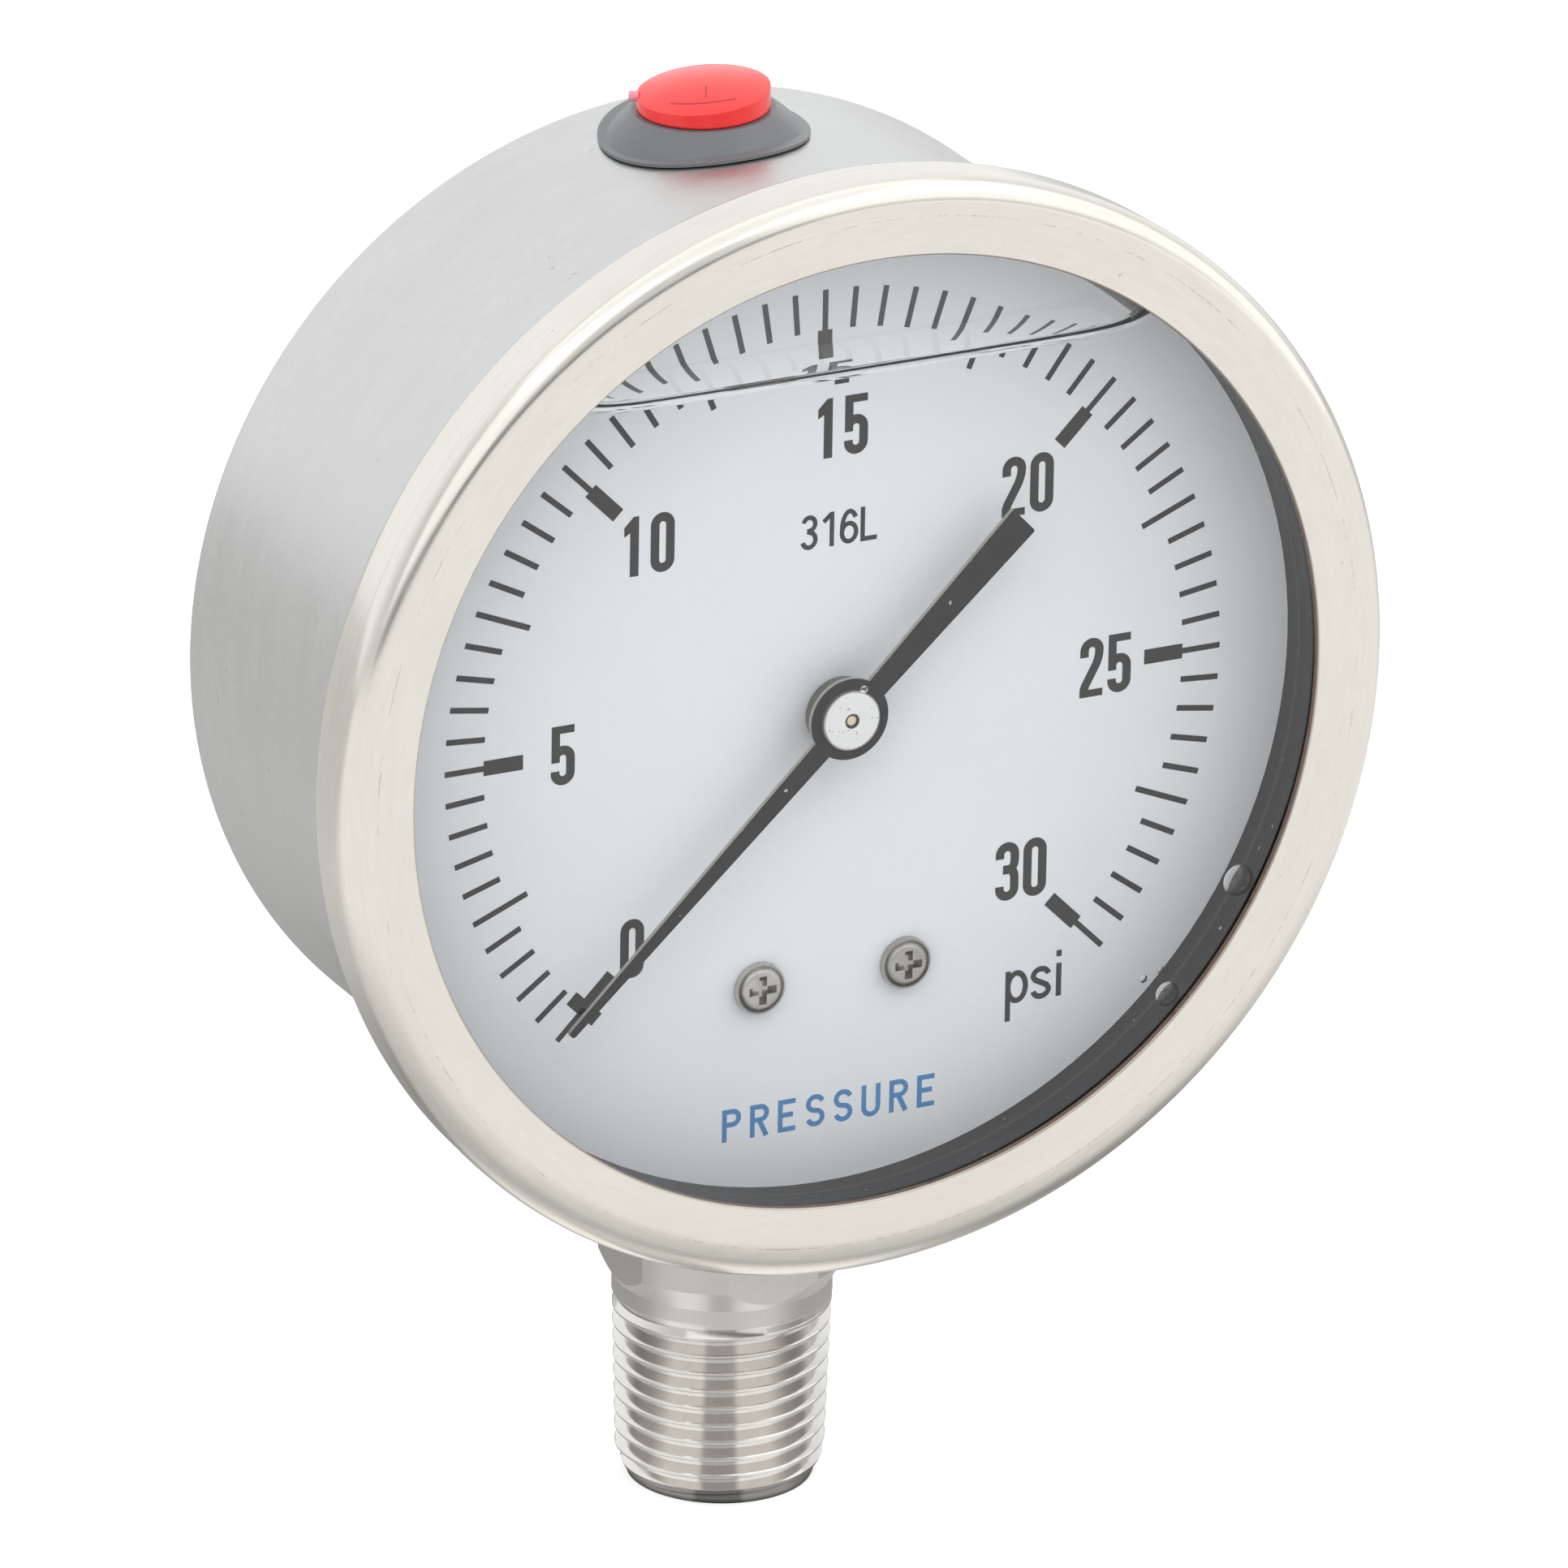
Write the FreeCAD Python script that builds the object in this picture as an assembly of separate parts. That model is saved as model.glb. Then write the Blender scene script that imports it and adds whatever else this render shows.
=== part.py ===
import FreeCAD, Part

import math
import os

# Liquid-filled dial pressure gauge, 100 mm size, with a bottom 1/2 NPT connection.
# Millimetres. The origin is the centre of the connection's end face, +Z is up along the stem,
# and the dial faces -Y. The dial axis runs along Y at z = DIAL_Z.

V = FreeCAD.Vector

# Case, bezel and window. Radii are about the dial axis.
DIAL_Z = 86.5
CASE_R = 49.6
CASE_BACK_Y = 16.0
CASE_WALL = 0.8
CASE_CORNER_R = 1.0
CASE_MOUTH_ROUND = 0.6
BEZEL_R = 54.65
BEZEL_WALL = 1.1
BEZEL_FRONT_Y = -29.8
BEZEL_EDGE_ROUND = 2.3
BEZEL_CROWN_R = 51.2
BEZEL_CROWN_ROUND = 8.0
BEZEL_LAND_DEPTH = 3.0
BEZEL_STEP = 0.15
BEZEL_REAR_ROUND = 2.0
HEM_R = 49.72
HEM_ROUND = 0.4
LIP_R = 47.3
LIP_T = 0.65
LIP_ROUND = 0.25
WINDOW_T = 2.0
WINDOW_GAP = 0.3
WINDOW_CHAMFER = 0.3
GASKET_R = 48.0
GASKET_T = 3.0
GASKET_GAP = 0.1
GASKET_LIP = 0.15
GASKET_LIP_DEPTH = 5.2
FLANGE_T = 1.0
DIAL_FACE_Y = -17.5
DIAL_T = 0.8
DIAL_R = 48.4
DIAL_ROUND = 0.2

# The stack at the front of the case, from the bezel's lip back to its rolled hem.
WINDOW_FRONT_Y = BEZEL_FRONT_Y + BEZEL_WALL
WINDOW_BACK_Y = WINDOW_FRONT_Y + WINDOW_T
FLANGE_FRONT_Y = WINDOW_BACK_Y + GASKET_T
HEM_FRONT_Y = FLANGE_FRONT_Y + FLANGE_T
HEM_BACK_Y = HEM_FRONT_Y + BEZEL_WALL
BEZEL_WALL_R = BEZEL_R - BEZEL_STEP
BEZEL_SEAT_R = BEZEL_WALL_R - BEZEL_WALL
CASE_INNER_R = CASE_R - CASE_WALL
DIAL_BACK_Y = DIAL_FACE_Y + DIAL_T

# Socket: pipe thread, neck and wrench block. Heights are above the end face.
THREAD_PITCH = 1.8143
THREAD_TAPER = 1 / 32
THREAD_TOP_Z = 18.0
THREAD_TOP_R = 10.62
END_CHAMFER_R = 9.0
END_CHAMFER_SLOPE = 0.46
THREAD_DEPTH = 1.05
THREAD_LAND = 0.3
FIRST_CREST_Z = 1.486
CREST_COUNT = 10
NECK_R = 10.67
NECK_Z = 19.5
NECK_TOP_Z = 20.8
BLOCK_R = 12.0
BLOCK_Z = 23.1
BLOCK_FLATS = 22.0
PORT_R = 3.0
PORT_DEPTH = 14.0
RESTRICTOR_R = 2.0
RESTRICTOR_LENGTH = 5.0
RESTRICTOR_SEAT = 6.0
RESTRICTOR_BORE_R = 0.3
RESTRICTOR_SLOT = 0.6
RESTRICTOR_SLOT_DEPTH = 1.0
CHANNEL_R = 1.5
CHANNEL_END = 0.6
CROSS_CHANNEL_R = 1.2

# Tube holder, the part of the socket inside the case. Offsets in z are from the dial axis.
HOLDER_FRONT_Y = -3.2
HOLDER_TOP = -22.0
HOLDER_STEP = -46.0
TUBE_SLOT_DEG = 30.0

# Pressure tube: a flattened tube bent to an arc about the dial axis, which uncurls as the
# pressure rises. Angles are seen from the front, anticlockwise from +X.
TUBE_R = 33.0
TUBE_MID_Y = 4.0
TUBE_WIDTH = 11.0
TUBE_THICK = 5.0
TUBE_WALL = 0.5
TUBE_TIP_DEG = 5.0
TUBE_ROOT_DEG = 263.0
TIP_END_DEG = -6.0
TIP_PLUG_DEG = 11.0
TIP_GAP_DEG = 0.15

# Movement: two plates, a toothed sector and a pinion in mesh on the dial axis.
MODULE = 0.25
DEDENDUM = 1.25 * MODULE
SECTOR_ADDENDUM = 0.84 * MODULE
PINION_TEETH = 14
SECTOR_TEETH_FULL = 175
SECTOR_FIRST_TOOTH = -3
SECTOR_LAST_TOOTH = 14
PRESSURE_ANGLE = math.radians(20)
BACKLASH = 0.04
SECTOR_DEG = -48.0
SECTOR_TRAVEL_DEG = 21.6
TAIL_LENGTH = 8.0
LINK_LENGTH = 15.0
FRONT_PLATE_Y = -13.0
PLATE_T = 1.2
BACK_PLATE_Y = -4.4
SECTOR_Y = -8.6
SECTOR_T = 1.2
SECTOR_RIM = 2.6
SECTOR_HUB_R = 3.0
TAIL_HALF_WIDTH = 1.7
PINION_OVERHANG = 0.6
LINK_Y = -7.25
LINK_T = 1.0
LINK_HALF_WIDTH = 1.5
LINK_PIN_R = 0.75
PIN_HEAD_R = 1.2
PIN_HEAD_T = 0.35
PIN_FLOAT = 0.1
LUG_GAP = 0.15
LUG_T = 1.3
LUG_HALF_WIDTH = 2.1
ARM_R = 1.8
RUNNING = 0.05
OPEN_PIVOT = 0.2
PIVOT_R = 0.6
PIVOT_PROUD = 0.2
ARBOR_R = 1.0
ARBOR_FLOAT = 0.1
NOSE_R = 0.8
NOSE_STEP = 0.8
BUSHING_R = 1.7
BUSHING_FLANGE_R = 2.3
BUSHING_FLANGE_T = 0.35
SCREW_CLEARANCE = 0.1
HOLDER_SCREW_R = 0.8
HOLDER_SCREW_HEAD_R = 1.5
HOLDER_SCREW_LENGTH = 4.0
HOLDER_SCREW_HOLE = 3.0
HOLDER_SCREWS = [(-2.9, -26.0), (2.9, -26.0)]
PILLARS = [(-6.5, 5.5), (-3.5, -17.0), (20.5, -6.0)]
PILLAR_R = 1.8
PILLAR_SPIGOT_R = 1.0
PILLAR_HOLE = 4.0
PLATE_SCREW_R = 0.8
PLATE_SCREW_HEAD_R = 1.6
PLATE_SCREW_LENGTH = 4.8
SMALL_HEAD_T = 1.1
TAB_HALF_WIDTH = 4.7
TIP_ARM_INSET = 0.6
TIP_ARM_DROP = 1.6
TIP_MOVE_DEG = 80.2
WEB_INNER_R = 2.0
WEB_OVERLAP = 1.8
WEB_ROUND = 0.2
WEB_WINDOW_INNER_R = 7.0
WEB_WINDOW_MARGIN = 0.8
WEB_WINDOW_ROUND = 0.8

# Hairspring.
COLLET_R = 2.1
COLLET_Y = -6.0
COLLET_T = 1.1
SPRING_START_R = 2.21
SPRING_END_R = 6.2
SPRING_TURNS = 5
SPRING_STRIP = 0.12
SPRING_Y = -5.7
SPRING_HEIGHT = 0.5
SPRING_END_DEG = 200.0
STUD_R = 0.6

# Dial screws and the posts that hold the dial off the tube holder.
DIAL_SCREWS = [(-7.7, -26.9), (7.7, -26.9)]
DIAL_SCREW_R = 1.25
DIAL_SCREW_HEAD_R = 2.6
DIAL_SCREW_HEAD_T = 1.6
DIAL_SCREW_LENGTH = 5.0
POST_FLATS = 5.0
POST_STUD = 4.0
DIAL_HOLE_R = 2.2

# Proportions of the cross-head screws, as parts of the head's height, its radius or the recess.
SCREW_HEAD_ROUND = 0.62
SCREW_END_CHAMFER = 0.3
CROSS_REACH = 0.55
CROSS_DEPTH = 0.6
CROSS_ARM = 0.28
CROSS_TAPER = 0.55
CROSS_OVERSHOOT = 0.01

# Pointer.
POINTER_DEG = 223.6
BLADE_FRONT_Y = -22.2
BLADE_T = 0.8
BLADE_HUB_R = 4.05
BLADE_REACH = 39.6
BLADE_TIP_R = 0.38
BLADE_ROOT_HALF = 1.15
TAIL_REACH = 24.9
TAIL_HALF = 1.71
TIP_CORNER = 0.35
TAIL_CORNER = 0.25
HUB_R = 3.55
HUB_BACK_Y = -18.3
HUB_ROUND = 0.3
SPIGOT_R = 2.0
CAP_R = 2.95
CAP_FRONT_Y = -23.1
CAP_ROUND = 0.25
CAP_RECESS_R = 0.75
NOSE_TIP_R = 0.535
NOSE_TIP_Y = -22.9
NOSE_TIP_ROUND = 0.15

# Vent plug in its grommet on top of the case. Heights are distances from the dial axis along
# the plug's own axis, which leans a little off vertical.
VENT_LEAN_DEG = 1.9
PLUG_Y = 4.25
GROMMET_R = 10.05
GROMMET_RISE_R = 9.6
GROMMET_RISE_SINK = 0.12
GROMMET_FOOT_R = 9.0
GROMMET_LIFT = 0.15
GROMMET_NECK_R = 8.2
GROMMET_SKIRT_R = 8.7
GROMMET_SKIRT_T = 1.0
GROMMET_T = 0.45
GROMMET_TOP = 51.7
GROMMET_TOP_R = 6.8
GROMMET_BORE_R = 5.2
PLUG_HEAD_R = 6.35
PLUG_RIM_TOP = 53.5
PLUG_TOP = 54.4
PLUG_PEAK_X = 1.6
PLUG_STEM_END = 45.5
PLUG_TAPER = 0.9
PLUG_TAPER_LENGTH = 1.4
PLUG_RIM_ROUND = 0.25
PLUG_HEAD_GAP = 0.05


def rounded_wire(points, place):
    """Closed wire through (u, v) or (u, v, radius) points, with an arc where a radius is given."""
    corners = [place(point[0], point[1]) for point in points]
    radii = [point[2] if len(point) > 2 else 0.0 for point in points]
    edges = []
    ends = []
    for index, here in enumerate(corners):
        before = corners[index - 1]
        after = corners[(index + 1) % len(corners)]
        if radii[index] == 0.0:
            ends.append((here, here))
            continue
        arrive = (before - here).normalize()
        leave = (after - here).normalize()
        half = arrive.getAngle(leave) / 2
        inward = (arrive + leave).normalize()
        reach = radii[index] / math.tan(half)
        start = here + arrive * reach
        end = here + leave * reach
        middle = here + inward * (radii[index] / math.sin(half) - radii[index])
        edges.append(Part.Arc(start, middle, end).toShape())
        ends.append((start, end))
    for index, (start, end) in enumerate(ends):
        following = ends[(index + 1) % len(ends)][0]
        if end.distanceToPoint(following) > 1e-6:
            edges.append(Part.LineSegment(end, following).toShape())
    return Part.Wire(Part.__sortEdges__(edges))


def turned_y(points, x=0.0, z=0.0):
    """Solid of revolution about an axis along Y at (x, DIAL_Z + z), from (radius, y) points."""
    wire = rounded_wire(points, lambda radius, y: V(x + radius, y, DIAL_Z + z))
    return Part.Face(wire).revolve(V(x, 0, DIAL_Z + z), V(0, 1, 0), 360)


def turned_z(points, y=0.0):
    """Solid of revolution about a vertical axis at (0, y), from (radius, z) points."""
    wire = rounded_wire(points, lambda radius, z: V(radius, y, z))
    return Part.Face(wire).revolve(V(0, y, 0), V(0, 0, 1), 360)


def pin_y(radius, front_y, back_y, x=0.0, z=0.0):
    """Round bar along Y, with z measured from the dial axis."""
    return Part.makeCylinder(radius, back_y - front_y, V(x, front_y, DIAL_Z + z), V(0, 1, 0))


def bar_z(radius, bottom_z, top_z, y=0.0):
    """Upright round bar on the stem's mid plane."""
    return Part.makeCylinder(radius, top_z - bottom_z, V(0, y, bottom_z))


def plate_y(points, front_y, thickness):
    """Plate facing Y from an outline of (x, z) points about the dial centre."""
    wire = rounded_wire(points, lambda x, z: V(x, front_y, DIAL_Z + z))
    return Part.Face(wire).extrude(V(0, thickness, 0))


def bar_between(first, second, half_width, front_y, thickness):
    """Flat bar with round ends centred on two (x, z) points."""
    along = V(second[0] - first[0], 0, second[1] - first[1])
    across = V(-along.z, 0, along.x).normalize() * half_width
    corners = [
        (first[0] + across.x, first[1] + across.z),
        (second[0] + across.x, second[1] + across.z),
        (second[0] - across.x, second[1] - across.z),
        (first[0] - across.x, first[1] - across.z),
    ]
    back_y = front_y + thickness
    ends = [pin_y(half_width, front_y, back_y, *point) for point in (first, second)]
    return plate_y(corners, front_y, thickness).multiFuse(ends).removeSplitter()


def polar(radius, degrees, centre=(0.0, 0.0)):
    """(x, z) of a point at an angle seen from the front, anticlockwise from +X."""
    angle = math.radians(degrees)
    return centre[0] + radius * math.cos(angle), centre[1] + radius * math.sin(angle)


# Places in the movement, as (x, z) from the dial centre, and heights along the dial axis.
CENTRE_DISTANCE = MODULE * (PINION_TEETH + SECTOR_TEETH_FULL) / 2
SECTOR_PIVOT = polar(CENTRE_DISTANCE, SECTOR_DEG)
MESH_DEG = SECTOR_DEG + 180
TAIL_MID_DEG = TIP_MOVE_DEG - 90
TAIL_REST_DEG = TAIL_MID_DEG - SECTOR_TRAVEL_DEG / 2
TAIL_PIN = polar(TAIL_LENGTH, TAIL_REST_DEG, SECTOR_PIVOT)
TIP_PIN = polar(LINK_LENGTH, TIP_MOVE_DEG, TAIL_PIN)
TIP_ARM = (TUBE_R - TIP_ARM_INSET, -TIP_ARM_DROP)
LUG_Y = LINK_Y + LINK_T + LUG_GAP
ARBOR_FRONT_Y = FRONT_PLATE_Y + PLATE_T + ARBOR_FLOAT
ARBOR_BACK_Y = BACK_PLATE_Y - ARBOR_FLOAT
BLADE_BACK_Y = BLADE_FRONT_Y + BLADE_T


def about_dial(shape, start_deg, end_deg):
    """Sweep a face drawn at angle 0 about the dial axis, between two angles seen from the front."""
    face = shape.copy()
    face.rotate(V(0, 0, DIAL_Z), V(0, -1, 0), start_deg)
    return face.revolve(V(0, 0, DIAL_Z), V(0, -1, 0), end_deg - start_deg)


def tube_section(inset):
    """The tube's flat oval section at angle 0, made smaller all round by inset."""
    half_thick = TUBE_THICK / 2 - inset
    flat = TUBE_WIDTH / 2 - TUBE_THICK / 2
    low_y = TUBE_MID_Y - flat
    high_y = TUBE_MID_Y + flat
    inner = TUBE_R - half_thick
    outer = TUBE_R + half_thick
    edges = [
        Part.LineSegment(V(outer, low_y, DIAL_Z), V(outer, high_y, DIAL_Z)),
        Part.Arc(V(outer, high_y, DIAL_Z), V(TUBE_R, high_y + half_thick, DIAL_Z), V(inner, high_y, DIAL_Z)),
        Part.LineSegment(V(inner, high_y, DIAL_Z), V(inner, low_y, DIAL_Z)),
        Part.Arc(V(inner, low_y, DIAL_Z), V(TUBE_R, low_y - half_thick, DIAL_Z), V(outer, low_y, DIAL_Z)),
    ]
    return Part.Face(Part.Wire([edge.toShape() for edge in edges]))


def case_annulus(inner_r, outer_r):
    """Ring about the dial axis, as deep as the gauge, for shapes that follow the case wall."""
    outer = pin_y(outer_r, BEZEL_FRONT_Y, CASE_BACK_Y)
    return outer.cut(pin_y(inner_r, BEZEL_FRONT_Y, CASE_BACK_Y))


def wrench_block(bottom_z, top_z):
    """Round bar with four flats, the section of the wrench block."""
    flats = Part.makeBox(
        BLOCK_FLATS, BLOCK_FLATS, top_z - bottom_z, V(-BLOCK_FLATS / 2, -BLOCK_FLATS / 2, bottom_z)
    )
    return bar_z(BLOCK_R, bottom_z, top_z).common(flats)


def leaned(shape):
    """The shape turned about the dial axis to the vent plug's own axis."""
    shape.rotate(V(0, 0, DIAL_Z), V(0, -1, 0), VENT_LEAN_DEG)
    return shape


# Case, bezel and window


def case_shell():
    """Drawn cup with a flange at its mouth and holes for the wrench block and the grommet."""
    rim_r = BEZEL_SEAT_R - GASKET_GAP
    corner_r = CASE_CORNER_R - CASE_WALL
    cup = turned_y(
        [
            (0, CASE_BACK_Y),
            (CASE_R, CASE_BACK_Y, CASE_CORNER_R),
            (CASE_R, HEM_FRONT_Y),
            (rim_r, HEM_FRONT_Y),
            (rim_r, FLANGE_FRONT_Y),
            (CASE_INNER_R, FLANGE_FRONT_Y, CASE_MOUTH_ROUND),
            (CASE_INNER_R, CASE_BACK_Y - CASE_WALL, corner_r),
            (0, CASE_BACK_Y - CASE_WALL),
        ]
    )
    cup = cup.cut(wrench_block(DIAL_Z - BEZEL_R, DIAL_Z + HOLDER_STEP))
    return cup.cut(leaned(bar_z(GROMMET_NECK_R, DIAL_Z, DIAL_Z + BEZEL_R, PLUG_Y)))


def bezel_ring():
    """Ring crimped over the window and the case flange, with a rolled hem behind."""
    land_y = BEZEL_FRONT_Y + BEZEL_LAND_DEPTH
    return turned_y(
        [
            (LIP_R, WINDOW_FRONT_Y),
            (LIP_R, WINDOW_FRONT_Y - LIP_T, LIP_ROUND),
            (BEZEL_CROWN_R, BEZEL_FRONT_Y, BEZEL_CROWN_ROUND),
            (BEZEL_R, BEZEL_FRONT_Y, BEZEL_EDGE_ROUND),
            (BEZEL_R, land_y),
            (BEZEL_WALL_R, land_y + 2 * BEZEL_STEP),
            (BEZEL_WALL_R, HEM_BACK_Y, BEZEL_REAR_ROUND),
            (HEM_R, HEM_BACK_Y, HEM_ROUND),
            (HEM_R, HEM_FRONT_Y),
            (BEZEL_SEAT_R, HEM_FRONT_Y),
            (BEZEL_SEAT_R, WINDOW_FRONT_Y),
        ]
    )


def window_glass():
    """Safety glass disc with a small chamfer on both edges."""
    radius = BEZEL_SEAT_R - WINDOW_GAP
    flat_r = radius - WINDOW_CHAMFER
    return turned_y(
        [
            (0, WINDOW_FRONT_Y),
            (flat_r, WINDOW_FRONT_Y),
            (radius, WINDOW_FRONT_Y + WINDOW_CHAMFER),
            (radius, WINDOW_BACK_Y - WINDOW_CHAMFER),
            (flat_r, WINDOW_BACK_Y),
            (0, WINDOW_BACK_Y),
        ]
    )


def window_gasket():
    """Rubber seal: a flange under the window and a sleeve that lines the case to the dial."""
    step_y = WINDOW_BACK_Y + GASKET_LIP_DEPTH
    flange_r = BEZEL_SEAT_R - WINDOW_GAP
    sleeve_r = CASE_INNER_R - GASKET_GAP
    return turned_y(
        [
            (GASKET_R - GASKET_LIP, WINDOW_BACK_Y),
            (flange_r, WINDOW_BACK_Y),
            (flange_r, FLANGE_FRONT_Y),
            (sleeve_r, FLANGE_FRONT_Y),
            (sleeve_r, DIAL_FACE_Y),
            (GASKET_R, DIAL_FACE_Y),
            (GASKET_R, step_y),
            (GASKET_R - GASKET_LIP, step_y - GASKET_LIP),
        ]
    )


# Dial


def dial_plate():
    """Flat disc with a hole for the pointer arbor and two screw holes."""
    dial = turned_y(
        [
            (DIAL_HOLE_R, DIAL_FACE_Y),
            (DIAL_R, DIAL_FACE_Y, DIAL_ROUND),
            (DIAL_R, DIAL_BACK_Y, DIAL_ROUND),
            (DIAL_HOLE_R, DIAL_BACK_Y),
        ]
    )
    for point in DIAL_SCREWS:
        dial = dial.cut(pin_y(DIAL_SCREW_R + SCREW_CLEARANCE, DIAL_FACE_Y, DIAL_BACK_Y, *point))
    return dial


def cross_recess(reach, depth, face_y, x, z):
    """Tapered cross in a screw head; reach is from its centre to the end of an arm."""
    arm_half = CROSS_ARM * reach
    mouth_y = face_y - CROSS_OVERSHOOT
    arms = []
    for half_u, half_v in ((reach, arm_half), (arm_half, reach)):
        mouth = [(-half_u, -half_v), (half_u, -half_v), (half_u, half_v), (-half_u, half_v)]
        floor = [(CROSS_TAPER * u, CROSS_TAPER * v) for u, v in mouth]
        wires = [
            rounded_wire(mouth, lambda u, v: V(x + u, mouth_y, DIAL_Z + z + v)),
            rounded_wire(floor, lambda u, v: V(x + u, face_y + depth, DIAL_Z + z + v)),
        ]
        arms.append(Part.makeLoft(wires, True, True))
    return arms[0].fuse(arms[1])


def pan_screw(x, z, seat_y, head_r, head_t, shank_r, length):
    """Cross-head pan screw along Y, its head in front of the face at seat_y."""
    screw = turned_y(
        [
            (0, seat_y - head_t),
            (head_r, seat_y - head_t, SCREW_HEAD_ROUND * head_t),
            (head_r, seat_y),
            (shank_r, seat_y),
            (shank_r, seat_y + length - SCREW_END_CHAMFER),
            (shank_r - SCREW_END_CHAMFER, seat_y + length),
            (0, seat_y + length),
        ],
        x,
        z,
    )
    recess = cross_recess(CROSS_REACH * head_r, CROSS_DEPTH * head_t, seat_y - head_t, x, z)
    return screw.cut(recess)


def dial_screws():
    """The two screws on the face of the dial."""
    sizes = (DIAL_SCREW_HEAD_R, DIAL_SCREW_HEAD_T, DIAL_SCREW_R, DIAL_SCREW_LENGTH)
    return Part.makeCompound([pan_screw(x, z, DIAL_FACE_Y, *sizes) for x, z in DIAL_SCREWS])


def dial_posts():
    """Two hexagonal standoffs between the tube holder and the dial."""
    posts = []
    corner_r = POST_FLATS / math.sqrt(3)
    for x, z in DIAL_SCREWS:
        outline = [polar(corner_r, 30 + 60 * side, (x, z)) for side in range(6)]
        post = plate_y(outline, DIAL_BACK_Y, HOLDER_FRONT_Y - DIAL_BACK_Y)
        post = post.fuse(pin_y(DIAL_SCREW_R, HOLDER_FRONT_Y, HOLDER_FRONT_Y + POST_STUD, x, z))
        tapped = pin_y(DIAL_SCREW_R, DIAL_BACK_Y, DIAL_BACK_Y + DIAL_SCREW_LENGTH, x, z)
        posts.append(post.cut(tapped))
    return Part.makeCompound(posts)


# Socket


def socket_outline():
    """Half outline of the turned socket, from the end face up to the tube holder's top."""
    points = [(0, 0), (END_CHAMFER_R, 0)]
    half_pitch = THREAD_PITCH / 2
    half_land = THREAD_LAND / 2
    for index in range(CREST_COUNT):
        crest_z = FIRST_CREST_Z + index * THREAD_PITCH
        taper_r = THREAD_TOP_R - (THREAD_TOP_Z - crest_z) * THREAD_TAPER
        crest_r = min(taper_r, END_CHAMFER_R + END_CHAMFER_SLOPE * crest_z)
        root_r = taper_r - THREAD_DEPTH
        points.append((root_r, crest_z - half_pitch + half_land))
        points.append((crest_r, crest_z - half_land))
        points.append((crest_r, crest_z + half_land))
        points.append((root_r, crest_z + half_pitch - half_land))
    points.append((NECK_R, NECK_Z))
    points.append((NECK_R, NECK_TOP_Z))
    points.append((BLOCK_R, BLOCK_Z))
    points.append((BLOCK_R, DIAL_Z + HOLDER_TOP))
    points.append((0, DIAL_Z + HOLDER_TOP))
    return points


def socket():
    """Threaded stem, wrench block and tube holder in one piece, with the pressure channel.

    The thread's crests are rings on its taper.
    """
    holder_top_z = DIAL_Z + HOLDER_TOP
    flats = Part.makeBox(
        BLOCK_FLATS, BLOCK_FLATS, holder_top_z, V(-BLOCK_FLATS / 2, -BLOCK_FLATS / 2, 0)
    )
    body = turned_z(socket_outline()).common(flats)
    step_z = DIAL_Z + HOLDER_STEP
    front = Part.makeBox(
        2 * BLOCK_R, BLOCK_R, holder_top_z - step_z, V(-BLOCK_R, HOLDER_FRONT_Y - BLOCK_R, step_z)
    )
    tube_z = DIAL_Z - TUBE_R
    seat_top = PORT_DEPTH + RESTRICTOR_SEAT
    tube_end_x = polar(TUBE_R, TUBE_ROOT_DEG)[0]
    cross = Part.makeCylinder(CROSS_CHANNEL_R, -tube_end_x, V(0, 0, tube_z), V(-1, 0, 0))
    tools = [
        front,
        bar_z(PORT_R, 0, PORT_DEPTH),
        bar_z(RESTRICTOR_R, PORT_DEPTH, seat_top),
        bar_z(CHANNEL_R, seat_top, tube_z + CROSS_CHANNEL_R + CHANNEL_END),
        cross,
        about_dial(tube_section(0), TUBE_ROOT_DEG - TUBE_SLOT_DEG, TUBE_ROOT_DEG),
    ]
    for x, z in DIAL_SCREWS:
        tools.append(pin_y(DIAL_SCREW_R, HOLDER_FRONT_Y, HOLDER_FRONT_Y + POST_STUD, x, z))
    for x, z in HOLDER_SCREWS:
        tools.append(pin_y(HOLDER_SCREW_R, HOLDER_FRONT_Y, HOLDER_FRONT_Y + HOLDER_SCREW_HOLE, x, z))
    for tool in tools:
        body = body.cut(tool)
    return body


def restrictor_screw():
    """Slotted screw with a fine bore that damps pressure pulses."""
    end_z = PORT_DEPTH + RESTRICTOR_LENGTH
    corner = V(-RESTRICTOR_R, -RESTRICTOR_SLOT / 2, PORT_DEPTH)
    slot = Part.makeBox(2 * RESTRICTOR_R, RESTRICTOR_SLOT, RESTRICTOR_SLOT_DEPTH, corner)
    screw = bar_z(RESTRICTOR_R, PORT_DEPTH, end_z)
    return screw.cut(bar_z(RESTRICTOR_BORE_R, PORT_DEPTH, end_z)).cut(slot)


# Pressure tube and link


def pressure_tube():
    """Hollow flattened tube, open at the holder end and at the tip end."""
    outer = about_dial(tube_section(0), TUBE_TIP_DEG, TUBE_ROOT_DEG)
    return outer.cut(about_dial(tube_section(TUBE_WALL), TUBE_TIP_DEG - 1, TUBE_ROOT_DEG + 1))


def tube_end_piece():
    """Plug in the tube's tip with a lug that reaches in to the link."""
    head_deg = TUBE_TIP_DEG - TIP_GAP_DEG
    plug = about_dial(tube_section(TUBE_WALL + RUNNING), head_deg, TIP_PLUG_DEG)
    head = about_dial(tube_section(0), TIP_END_DEG, head_deg)
    lug = bar_between(TIP_PIN, TIP_ARM, LUG_HALF_WIDTH, LUG_Y, LUG_T)
    arm = pin_y(ARM_R, LUG_Y, TUBE_MID_Y, *TIP_ARM)
    piece = head.multiFuse([plug, lug, arm])
    return piece.cut(pin_y(LINK_PIN_R, LUG_Y, LUG_Y + LUG_T, *TIP_PIN)).removeSplitter()


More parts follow.
